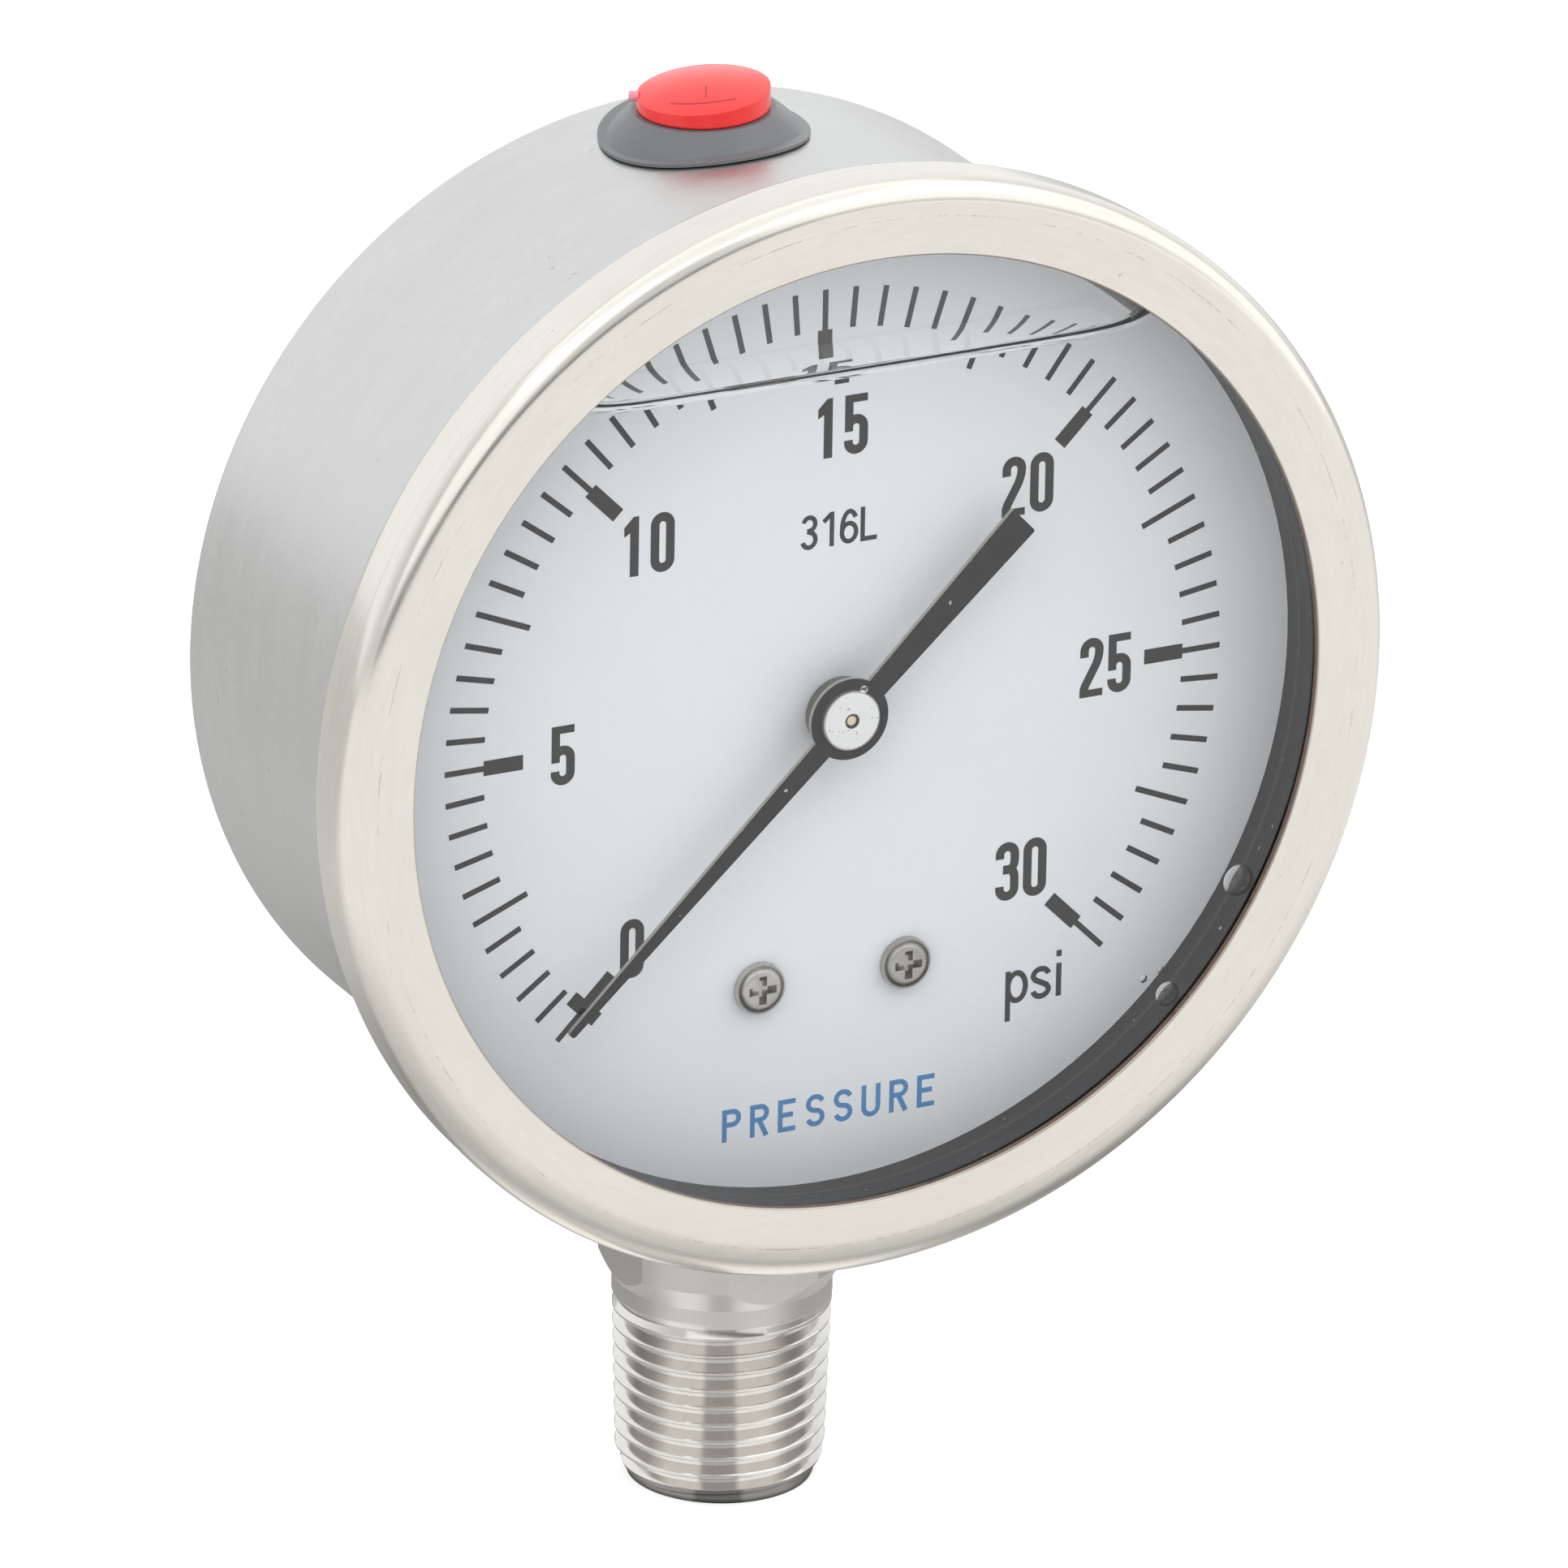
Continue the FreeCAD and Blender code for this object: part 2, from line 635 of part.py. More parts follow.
def tip_link_pin():
    """Headed pin in the end piece's lug, the open pivot of the linkage."""
    head_back_y = LINK_Y - PIN_FLOAT
    shank = pin_y(LINK_PIN_R, head_back_y, LUG_Y + LUG_T, *TIP_PIN)
    head = pin_y(PIN_HEAD_R, head_back_y - PIN_HEAD_T, head_back_y, *TIP_PIN)
    return shank.fuse(head).removeSplitter()


def link_bar():
    """Flat bar between the end piece and the sector's tail."""
    bar = bar_between(TAIL_PIN, TIP_PIN, LINK_HALF_WIDTH, LINK_Y, LINK_T)
    low_hole = pin_y(LINK_PIN_R + RUNNING, LINK_Y, LINK_Y + LINK_T, *TAIL_PIN)
    high_hole = pin_y(LINK_PIN_R + OPEN_PIVOT, LINK_Y, LINK_Y + LINK_T, *TIP_PIN)
    return bar.cut(low_hole).cut(high_hole)


def sector_link_pin():
    """Riveted pin in the sector's tail that carries the link."""
    link_back_y = LINK_Y + LINK_T + PIN_FLOAT
    shank = pin_y(LINK_PIN_R, SECTOR_Y - PIN_HEAD_T, link_back_y, *TAIL_PIN)
    front_head = pin_y(PIN_HEAD_R, SECTOR_Y - PIN_HEAD_T, SECTOR_Y, *TAIL_PIN)
    back_head = pin_y(PIN_HEAD_R, link_back_y, link_back_y + PIN_HEAD_T, *TAIL_PIN)
    return shank.multiFuse([front_head, back_head]).removeSplitter()


# Gears


def involute(angle):
    """The involute function."""
    return math.tan(angle) - angle


def half_tooth_deg(radius, teeth):
    """Half the angle that a tooth fills at a radius, thinned for backlash."""
    pitch_r = MODULE * teeth / 2
    base_r = pitch_r * math.cos(PRESSURE_ANGLE)
    at_pitch = (math.pi * MODULE / 2 - BACKLASH / 2) / (2 * pitch_r)
    angle = math.acos(base_r / max(radius, base_r))
    return math.degrees(at_pitch + involute(PRESSURE_ANGLE) - involute(angle))


def toothed_edges(teeth, centre, middles, root_r, tip_r, y):
    """Edges of a row of teeth centred on the angles in middles, in rising order."""

    def at(radius, degrees):
        x, z = polar(radius, degrees, centre)
        return V(x, y, DIAL_Z + z)

    def arc(radius, first, last):
        return Part.Arc(at(radius, first), at(radius, (first + last) / 2), at(radius, last)).toShape()

    flank_r = (root_r + tip_r) / 2
    root_half, flank_half, tip_half = (half_tooth_deg(r, teeth) for r in (root_r, flank_r, tip_r))
    edges = []
    flank = ((root_r, root_half), (flank_r, flank_half), (tip_r, tip_half))
    for index, middle in enumerate(middles):
        rising = [at(radius, middle - half) for radius, half in flank]
        falling = [at(radius, middle + half) for radius, half in reversed(flank)]
        edges.append(Part.Arc(*rising).toShape())
        edges.append(arc(tip_r, middle - tip_half, middle + tip_half))
        edges.append(Part.Arc(*falling).toShape())
        if index + 1 < len(middles):
            edges.append(arc(root_r, middle + root_half, middles[index + 1] - root_half))
    return edges


def pinion_arbor():
    """Pinion cut on its arbor, with a long nose through the dial to the pointer."""
    pitch_r = MODULE * PINION_TEETH / 2
    tooth_deg = 360 / PINION_TEETH
    root_r = pitch_r - DEDENDUM
    tip_r = pitch_r + MODULE
    front_y = SECTOR_Y - PINION_OVERHANG
    middles = [SECTOR_DEG + (index + 0.5) * tooth_deg for index in range(PINION_TEETH)]
    edges = toothed_edges(PINION_TEETH, (0, 0), middles, root_r, tip_r, front_y)
    root_half = half_tooth_deg(root_r, PINION_TEETH)
    last = middles[-1] + root_half
    gap = [polar(root_r, degrees) for degrees in (last, SECTOR_DEG + 360, middles[0] + 360 - root_half)]
    edges.append(Part.Arc(*[V(x, front_y, DIAL_Z + z) for x, z in gap]).toShape())
    pinion = Part.Face(Part.Wire(edges)).extrude(V(0, SECTOR_T + 2 * PINION_OVERHANG, 0))
    arbor = turned_y(
        [
            (0, NOSE_TIP_Y),
            (NOSE_TIP_R, NOSE_TIP_Y, NOSE_TIP_ROUND),
            (NOSE_TIP_R, HUB_BACK_Y),
            (NOSE_R, HUB_BACK_Y + NOSE_STEP),
            (NOSE_R, ARBOR_FRONT_Y),
            (ARBOR_R, ARBOR_FRONT_Y),
            (ARBOR_R, ARBOR_BACK_Y),
            (PIVOT_R, ARBOR_BACK_Y),
            (PIVOT_R, BACK_PLATE_Y + PLATE_T + PIVOT_PROUD),
            (0, BACK_PLATE_Y + PLATE_T + PIVOT_PROUD),
        ]
    )
    return arbor.fuse(pinion).removeSplitter()


def sector_gear():
    """Toothed sector with a pierced web, a hub and a tail for the link."""
    pitch_r = MODULE * SECTOR_TEETH_FULL / 2
    tooth_deg = 360 / SECTOR_TEETH_FULL
    root_r = pitch_r - DEDENDUM
    tip_r = pitch_r + SECTOR_ADDENDUM
    rim_r = root_r - SECTOR_RIM
    teeth = range(SECTOR_FIRST_TOOTH, SECTOR_LAST_TOOTH + 1)
    middles = sorted(MESH_DEG - index * tooth_deg for index in teeth)
    root_half = half_tooth_deg(root_r, SECTOR_TEETH_FULL)
    first = middles[0] - root_half
    last = middles[-1] + root_half
    middle = (first + last) / 2

    def at(radius, degrees):
        x, z = polar(radius, degrees, SECTOR_PIVOT)
        return V(x, SECTOR_Y, DIAL_Z + z)

    edges = toothed_edges(SECTOR_TEETH_FULL, SECTOR_PIVOT, middles, root_r, tip_r, SECTOR_Y)
    edges.append(Part.LineSegment(at(root_r, last), at(rim_r, last)).toShape())
    edges.append(Part.Arc(at(rim_r, last), at(rim_r, middle), at(rim_r, first)).toShape())
    edges.append(Part.LineSegment(at(rim_r, first), at(root_r, first)).toShape())
    rim = Part.Face(Part.Wire(edges)).extrude(V(0, SECTOR_T, 0))

    def wedge(near_r, near_deg, far_r, far_deg, radius):
        return [
            (*polar(near_r, middle - near_deg, SECTOR_PIVOT), radius),
            (*polar(far_r, middle - far_deg, SECTOR_PIVOT), radius),
            (*polar(far_r, middle + far_deg, SECTOR_PIVOT), radius),
            (*polar(near_r, middle + near_deg, SECTOR_PIVOT), radius),
        ]

    web_outline = wedge(WEB_INNER_R, 60, rim_r + WEB_OVERLAP, 16.5, WEB_ROUND)
    web = plate_y(web_outline, SECTOR_Y, SECTOR_T)
    hole_outline = wedge(WEB_WINDOW_INNER_R, 13, rim_r - WEB_WINDOW_MARGIN, 10.5, WEB_WINDOW_ROUND)
    hole = plate_y(hole_outline, SECTOR_Y, SECTOR_T)
    hub = pin_y(SECTOR_HUB_R, SECTOR_Y, SECTOR_Y + SECTOR_T, *SECTOR_PIVOT)
    tail = bar_between(SECTOR_PIVOT, TAIL_PIN, TAIL_HALF_WIDTH, SECTOR_Y, SECTOR_T)
    gear = rim.multiFuse([web, hub, tail]).cut(hole)
    gear = gear.cut(pin_y(ARBOR_R, SECTOR_Y, SECTOR_Y + SECTOR_T, *SECTOR_PIVOT))
    return gear.cut(pin_y(LINK_PIN_R, SECTOR_Y, SECTOR_Y + SECTOR_T, *TAIL_PIN)).removeSplitter()


def sector_arbor():
    """Plain arbor with a pivot at each end."""
    front_y = FRONT_PLATE_Y - PIVOT_PROUD
    back_y = BACK_PLATE_Y + PLATE_T + PIVOT_PROUD
    return turned_y(
        [
            (0, front_y),
            (PIVOT_R, front_y),
            (PIVOT_R, ARBOR_FRONT_Y),
            (ARBOR_R, ARBOR_FRONT_Y),
            (ARBOR_R, ARBOR_BACK_Y),
            (PIVOT_R, ARBOR_BACK_Y),
            (PIVOT_R, back_y),
            (0, back_y),
        ],
        *SECTOR_PIVOT,
    )


# Movement frame


def movement_plate(front_y, lower_edge):
    """Movement plate with holes for the bushings and pillars; lower_edge closes its outline."""
    outline = [
        (-10, 9.5, 4),
        (4, 9.5, 4),
        (23, -1.5, 3),
        (23, -9, 3),
        (20.5, -22.3, 3),
        *lower_edge,
        (-7.2, -19.8, 2),
        (-10, 0, 4),
    ]
    plate = plate_y(outline, front_y, PLATE_T)
    for point in ((0, 0), SECTOR_PIVOT):
        plate = plate.cut(pin_y(BUSHING_R, front_y, front_y + PLATE_T, *point))
    return plate


def movement_back_plate():
    """Rear plate, with a tab that is screwed to the tube holder."""
    tab = [
        (TAB_HALF_WIDTH, -22.3, 0.8),
        (TAB_HALF_WIDTH, -29.5, 1.5),
        (-TAB_HALF_WIDTH, -29.5, 1.5),
        (-TAB_HALF_WIDTH, -21.3, 0.8),
    ]
    plate = movement_plate(BACK_PLATE_Y, tab)
    for point in PILLARS:
        plate = plate.cut(pin_y(PILLAR_SPIGOT_R, BACK_PLATE_Y, BACK_PLATE_Y + PLATE_T, *point))
    hole_r = HOLDER_SCREW_R + SCREW_CLEARANCE
    for point in HOLDER_SCREWS:
        plate = plate.cut(pin_y(hole_r, BACK_PLATE_Y, BACK_PLATE_Y + PLATE_T, *point))
    return plate


def movement_front_plate():
    """Front plate, screwed to the pillars."""
    plate = movement_plate(FRONT_PLATE_Y, [(-TAB_HALF_WIDTH, -22.3, 2)])
    hole_r = PLATE_SCREW_R + SCREW_CLEARANCE
    for point in PILLARS:
        plate = plate.cut(pin_y(hole_r, FRONT_PLATE_Y, FRONT_PLATE_Y + PLATE_T, *point))
    return plate


def plate_pillars():
    """Three pillars riveted in the rear plate."""
    front_y = FRONT_PLATE_Y + PLATE_T
    pillars = []
    for x, z in PILLARS:
        pillar = pin_y(PILLAR_R, front_y, BACK_PLATE_Y, x, z)
        pillar = pillar.fuse(pin_y(PILLAR_SPIGOT_R, BACK_PLATE_Y, BACK_PLATE_Y + PLATE_T, x, z))
        pillars.append(pillar.cut(pin_y(PLATE_SCREW_R, front_y, front_y + PILLAR_HOLE, x, z)))
    return Part.makeCompound(pillars)


def plate_screws():
    """Screws that hold the front plate on the pillars."""
    sizes = (PLATE_SCREW_HEAD_R, SMALL_HEAD_T, PLATE_SCREW_R, PLATE_SCREW_LENGTH)
    return Part.makeCompound([pan_screw(x, z, FRONT_PLATE_Y, *sizes) for x, z in PILLARS])


def holder_screws():
    """Screws that hold the movement on the tube holder."""
    sizes = (HOLDER_SCREW_HEAD_R, SMALL_HEAD_T, HOLDER_SCREW_R, HOLDER_SCREW_LENGTH)
    return Part.makeCompound([pan_screw(x, z, BACK_PLATE_Y, *sizes) for x, z in HOLDER_SCREWS])


def bushing(x, z, inner_y, outward, bore_r):
    """Flanged bearing bushing in a plate; outward is -1 in the front plate and 1 in the rear."""
    outer_y = inner_y + outward * PLATE_T
    flange_y = outer_y + outward * BUSHING_FLANGE_T
    return turned_y(
        [
            (bore_r, inner_y),
            (BUSHING_R, inner_y),
            (BUSHING_R, outer_y),
            (BUSHING_FLANGE_R, outer_y),
            (BUSHING_FLANGE_R, flange_y),
            (bore_r, flange_y),
        ],
        x,
        z,
    )


def bushing_pair(x, z, front_bore_r, back_bore_r):
    """A bushing in each plate on one axis."""
    front = bushing(x, z, FRONT_PLATE_Y + PLATE_T, -1, front_bore_r)
    back = bushing(x, z, BACK_PLATE_Y, 1, back_bore_r)
    return Part.makeCompound([front, back])


# Hairspring


def spiral_edge(offset, y):
    """Archimedean spiral about the dial axis, moved out by offset."""
    steps_per_turn = 24
    steps = SPRING_TURNS * steps_per_turn
    points = []
    for step in range(steps + 1):
        radius = SPRING_START_R + (SPRING_END_R - SPRING_START_R) * step / steps + offset
        x, z = polar(radius, SPRING_END_DEG + 360 * (step - steps) / steps_per_turn)
        points.append(V(x, y, DIAL_Z + z))
    curve = Part.BSplineCurve()
    curve.interpolate(points)
    return curve.toShape()


def hairspring():
    """Flat spiral strip between the collet and its stud."""
    inner = spiral_edge(0, SPRING_Y)
    outer = spiral_edge(SPRING_STRIP, SPRING_Y)
    ends = [
        Part.LineSegment(inner.Vertexes[index].Point, outer.Vertexes[index].Point).toShape()
        for index in (0, 1)
    ]
    wire = Part.Wire(Part.__sortEdges__([inner, ends[0], outer, ends[1]]))
    return Part.Face(wire).extrude(V(0, SPRING_HEIGHT, 0))


def hairspring_collet():
    """Collar on the pinion arbor that holds the spring's inner end."""
    back_y = COLLET_Y + COLLET_T
    return pin_y(COLLET_R, COLLET_Y, back_y).cut(pin_y(ARBOR_R, COLLET_Y, back_y))


def hairspring_stud():
    """Post on the rear plate that holds the spring's outer end."""
    reach = SPRING_END_R + SPRING_STRIP + STUD_R
    return pin_y(STUD_R, COLLET_Y, BACK_PLATE_Y, *polar(reach, SPRING_END_DEG))


# Pointer


def pointer_blade():
    """Pressed blade with a round boss and a widening tail, pointing at its rest angle."""
    outline = [
        (BLADE_REACH, -BLADE_TIP_R, TIP_CORNER),
        (BLADE_REACH, BLADE_TIP_R, TIP_CORNER),
        (0, BLADE_ROOT_HALF),
        (-BLADE_HUB_R, BLADE_ROOT_HALF),
        (-TAIL_REACH, TAIL_HALF, TAIL_CORNER),
        (-TAIL_REACH, -TAIL_HALF, TAIL_CORNER),
        (-BLADE_HUB_R, -BLADE_ROOT_HALF),
        (0, -BLADE_ROOT_HALF),
    ]
    blade = plate_y(outline, BLADE_FRONT_Y, BLADE_T)
    blade = blade.fuse(pin_y(BLADE_HUB_R, BLADE_FRONT_Y, BLADE_BACK_Y))
    blade = blade.cut(pin_y(SPIGOT_R, BLADE_FRONT_Y, BLADE_BACK_Y)).removeSplitter()
    blade.rotate(V(0, 0, DIAL_Z), V(0, -1, 0), POINTER_DEG)
    return blade


def pointer_hub():
    """Barrel pressed on the arbor's nose, with a spigot through the blade."""
    return turned_y(
        [
            (NOSE_TIP_R, BLADE_FRONT_Y),
            (SPIGOT_R, BLADE_FRONT_Y),
            (SPIGOT_R, BLADE_BACK_Y),
            (HUB_R, BLADE_BACK_Y),
            (HUB_R, HUB_BACK_Y, HUB_ROUND),
            (NOSE_TIP_R, HUB_BACK_Y),
        ]
    )


def pointer_cap():
    """Bright cap on the hub, with a recess around the end of the arbor."""
    return turned_y(
        [
            (CAP_RECESS_R, CAP_FRONT_Y),
            (CAP_R, CAP_FRONT_Y, CAP_ROUND),
            (CAP_R, BLADE_FRONT_Y),
            (CAP_RECESS_R, BLADE_FRONT_Y),
        ]
    )


# Vent plug


def fill_grommet():
    """Rubber grommet that grips the case wall, with a domed middle and a thin, lifted edge."""
    outer_r = CASE_R + GROMMET_T
    inner_r = CASE_INNER_R - GROMMET_SKIRT_T
    lip_r = CASE_R + GROMMET_LIFT
    low_z = DIAL_Z + PLUG_STEM_END
    top_z = DIAL_Z + GROMMET_TOP
    lip = bar_z(GROMMET_R, low_z, top_z, PLUG_Y).common(case_annulus(lip_r, outer_r))
    foot = bar_z(GROMMET_FOOT_R, low_z, top_z, PLUG_Y).common(case_annulus(CASE_R, outer_r))
    edge_z = math.sqrt(outer_r**2 - GROMMET_RISE_R**2) - GROMMET_RISE_SINK
    span = GROMMET_TOP**2 + GROMMET_TOP_R**2 - edge_z**2 - GROMMET_RISE_R**2
    centre = span / (2 * (GROMMET_TOP - edge_z))
    dome_r = math.hypot(GROMMET_TOP_R, GROMMET_TOP - centre)
    dome = Part.makeSphere(dome_r, V(0, PLUG_Y, DIAL_Z + centre))
    rise = dome.common(bar_z(GROMMET_R, low_z, top_z, PLUG_Y))
    rise = rise.cut(pin_y(lip_r, BEZEL_FRONT_Y, CASE_BACK_Y))
    neck = bar_z(GROMMET_NECK_R, low_z, top_z, PLUG_Y).common(case_annulus(inner_r, outer_r))
    skirt = bar_z(GROMMET_SKIRT_R, low_z, top_z, PLUG_Y)
    skirt = skirt.common(case_annulus(inner_r, CASE_INNER_R))
    grommet = lip.multiFuse([foot, rise, neck, skirt]).removeSplitter()
    return leaned(grommet.cut(bar_z(GROMMET_BORE_R, low_z, top_z, PLUG_Y)))


def vent_plug():
    """Plug with a dome that peaks off its middle, and a stem that slides in the grommet."""
    stem_r = GROMMET_BORE_R - RUNNING
    seat_z = DIAL_Z + GROMMET_TOP + PLUG_HEAD_GAP
    stem_end_z = DIAL_Z + PLUG_STEM_END
    top_z = DIAL_Z + PLUG_TOP
    dome_rise = PLUG_TOP - PLUG_RIM_TOP
    dome_r = (PLUG_HEAD_R**2 + dome_rise**2) / (2 * dome_rise)
    body = turned_z(
        [
            (0, stem_end_z),
            (stem_r - PLUG_TAPER, stem_end_z),
            (stem_r, stem_end_z + PLUG_TAPER_LENGTH),
            (stem_r, seat_z),
            (PLUG_HEAD_R, seat_z, PLUG_RIM_ROUND),
            (PLUG_HEAD_R, top_z),
            (0, top_z),
        ],
        PLUG_Y,
    )
    dome = Part.makeSphere(dome_r, V(PLUG_PEAK_X, PLUG_Y, top_z - dome_r))
    return leaned(body.common(dome))


SUBPARTS = {
    "case_shell": case_shell,
    "bezel_ring": bezel_ring,
    "window_glass": window_glass,
    "window_gasket": window_gasket,
    "dial_plate": dial_plate,
    "dial_screws": dial_screws,
    "dial_posts": dial_posts,
    "socket": socket,
    "restrictor_screw": restrictor_screw,
    "pressure_tube": pressure_tube,
    "tube_end_piece": tube_end_piece,
    "tip_link_pin": tip_link_pin,
    "link_bar": link_bar,
    "sector_link_pin": sector_link_pin,
    "sector_gear": sector_gear,
    "sector_arbor": sector_arbor,
    "sector_bushings": lambda: bushing_pair(*SECTOR_PIVOT, PIVOT_R + RUNNING, PIVOT_R + RUNNING),
    "pinion_arbor": pinion_arbor,
    "pinion_bushings": lambda: bushing_pair(0, 0, NOSE_R + RUNNING, PIVOT_R + RUNNING),
    "movement_back_plate": movement_back_plate,
    "movement_front_plate": movement_front_plate,
    "plate_pillars": plate_pillars,
    "plate_screws": plate_screws,
    "holder_screws": holder_screws,
    "hairspring": hairspring,
    "hairspring_collet": hairspring_collet,
    "hairspring_stud": hairspring_stud,
    "pointer_blade": pointer_blade,
    "pointer_hub": pointer_hub,
    "pointer_cap": pointer_cap,
    "fill_grommet": fill_grommet,
    "vent_plug": vent_plug,
}

os.makedirs("parts", exist_ok=True)
for name, make in SUBPARTS.items():
    shape = make()
    print(f"{name}: valid {shape.isValid()}, solids {len(shape.Solids)}, volume {shape.Volume:.2f} mm3")
    shape.exportStep(f"parts/{name}.step")
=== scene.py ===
import math

import bmesh
import bpy
from mathutils import Matrix, Vector


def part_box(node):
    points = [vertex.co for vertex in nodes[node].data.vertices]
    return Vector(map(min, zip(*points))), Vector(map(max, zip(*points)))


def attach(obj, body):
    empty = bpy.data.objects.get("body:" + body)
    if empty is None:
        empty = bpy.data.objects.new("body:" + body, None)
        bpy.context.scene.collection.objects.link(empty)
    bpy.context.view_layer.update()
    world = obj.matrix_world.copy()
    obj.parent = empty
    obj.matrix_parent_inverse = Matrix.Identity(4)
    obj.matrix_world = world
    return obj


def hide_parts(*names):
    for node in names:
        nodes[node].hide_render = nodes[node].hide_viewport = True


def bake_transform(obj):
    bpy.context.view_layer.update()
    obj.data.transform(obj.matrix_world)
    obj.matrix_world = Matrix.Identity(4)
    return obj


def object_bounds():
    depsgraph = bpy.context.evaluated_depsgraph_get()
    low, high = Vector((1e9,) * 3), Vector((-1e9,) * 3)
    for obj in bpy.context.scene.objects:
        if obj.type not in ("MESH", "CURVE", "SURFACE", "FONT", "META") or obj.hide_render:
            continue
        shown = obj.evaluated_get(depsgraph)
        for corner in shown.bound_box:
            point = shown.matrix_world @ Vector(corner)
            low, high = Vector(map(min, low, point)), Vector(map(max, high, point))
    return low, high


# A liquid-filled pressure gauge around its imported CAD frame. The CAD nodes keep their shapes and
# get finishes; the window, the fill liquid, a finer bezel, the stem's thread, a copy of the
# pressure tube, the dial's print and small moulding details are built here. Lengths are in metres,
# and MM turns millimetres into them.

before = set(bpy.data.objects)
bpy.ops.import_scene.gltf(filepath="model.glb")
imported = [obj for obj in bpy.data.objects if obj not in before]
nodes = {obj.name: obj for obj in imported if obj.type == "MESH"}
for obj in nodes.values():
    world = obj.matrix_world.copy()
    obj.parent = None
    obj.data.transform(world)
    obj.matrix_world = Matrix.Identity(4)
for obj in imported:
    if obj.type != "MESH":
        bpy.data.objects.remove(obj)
cad_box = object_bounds()
MM = 0.001


# Places read from the frame

dial_low, dial_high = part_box("dial_plate")
glass_low, glass_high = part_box("window_glass")
plug_low, plug_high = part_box("vent_plug")

DIAL_Z = (dial_low.z + dial_high.z) / 2
DIAL_FACE_Y = dial_low.y
GLASS_RADIUS = (glass_high.x - glass_low.x) / 2
GLASS_FRONT_Y = glass_low.y
GLASS_BACK_Y = glass_high.y


def direction(azimuth, elevation):
    """The unit vector towards an azimuth, counted from the dial's axis, and an elevation."""
    level = math.cos(elevation)
    return Vector((math.sin(azimuth) * level, -math.cos(azimuth) * level, math.sin(elevation)))


def on_circle(radius, turn, y):
    """The point at a radius and a turn about the dial's axis."""
    return Vector((radius * math.cos(turn), y, DIAL_Z + radius * math.sin(turn)))


def spaced(start, stop, steps):
    """Even steps from a start, without the stop itself."""
    return [start + (stop - start) * step / steps for step in range(steps)]


def linked(name, data):
    """A new object of the scene."""
    thing = bpy.data.objects.new(name, data)
    bpy.context.scene.collection.objects.link(thing)
    return thing


# Camera

CAMERA_AZIMUTH = math.radians(-26.975)
CAMERA_ELEVATION = math.radians(21.763)
CAMERA_ROLL = math.radians(0.969)
CAMERA_DISTANCE = 1.67336
CAMERA_TARGET = Vector((5.806 * MM, 0, DIAL_Z - 16.496 * MM))
CAMERA_LENS = 402.9
CAMERA_REACH = 20
SENSOR_WIDTH = 36.0


def make_camera():
    """The camera, looking at its target from its azimuth and elevation, turned by its roll."""
    back = direction(CAMERA_AZIMUTH, CAMERA_ELEVATION)
    level_right = Vector((math.cos(CAMERA_AZIMUTH), math.sin(CAMERA_AZIMUTH), 0))
    level_up = back.cross(level_right)
    right = level_right * math.cos(CAMERA_ROLL) + level_up * math.sin(CAMERA_ROLL)
    up = level_up * math.cos(CAMERA_ROLL) - level_right * math.sin(CAMERA_ROLL)
    data = bpy.data.cameras.new("camera")
    data.lens = CAMERA_LENS
    data.sensor_width = SENSOR_WIDTH
    data.clip_end = CAMERA_REACH
    camera = linked("camera", data)
    turn = Matrix((right, up, back)).transposed().to_4x4()
    camera.matrix_world = Matrix.Translation(CAMERA_TARGET + back * CAMERA_DISTANCE) @ turn
    bpy.context.scene.camera = camera


# Material building blocks

AXIS_GUARD = 0.1 * MM


class Graph:
    """A node tree, with short ways to add its nodes."""

    def __init__(self, tree):
        self.tree = tree

    def set(self, node, values):
        """Gives a node's inputs their values, or links the sockets among them."""
        for key, value in values.items():
            if isinstance(value, bpy.types.NodeSocket):
                self.tree.links.new(value, node.inputs[key])
            else:
                node.inputs[key].default_value = value

    def add(self, kind, values=None, **attributes):
        """A new node with its attributes and inputs set."""
        node = self.tree.nodes.new("ShaderNode" + kind)
        for key, value in attributes.items():
            setattr(node, key, value)
        self.set(node, values or {})
        return node

    def math(self, operation, first, second=0.0, third=0.0):
        """One step of arithmetic."""
        values = {0: first, 1: second, 2: third}
        return self.add("Math", values, operation=operation).outputs[0]

    def product(self, first, second):
        """Two values multiplied."""
        return self.math("MULTIPLY", first, second)

    def remap(self, value, low, high, new_low, new_high):
        """A value moved from one range to another, and held there."""
        values = {"Value": value, "From Min": low, "From Max": high}
        values.update({"To Min": new_low, "To Max": new_high})
        return self.add("MapRange", values, clamp=True).outputs["Result"]


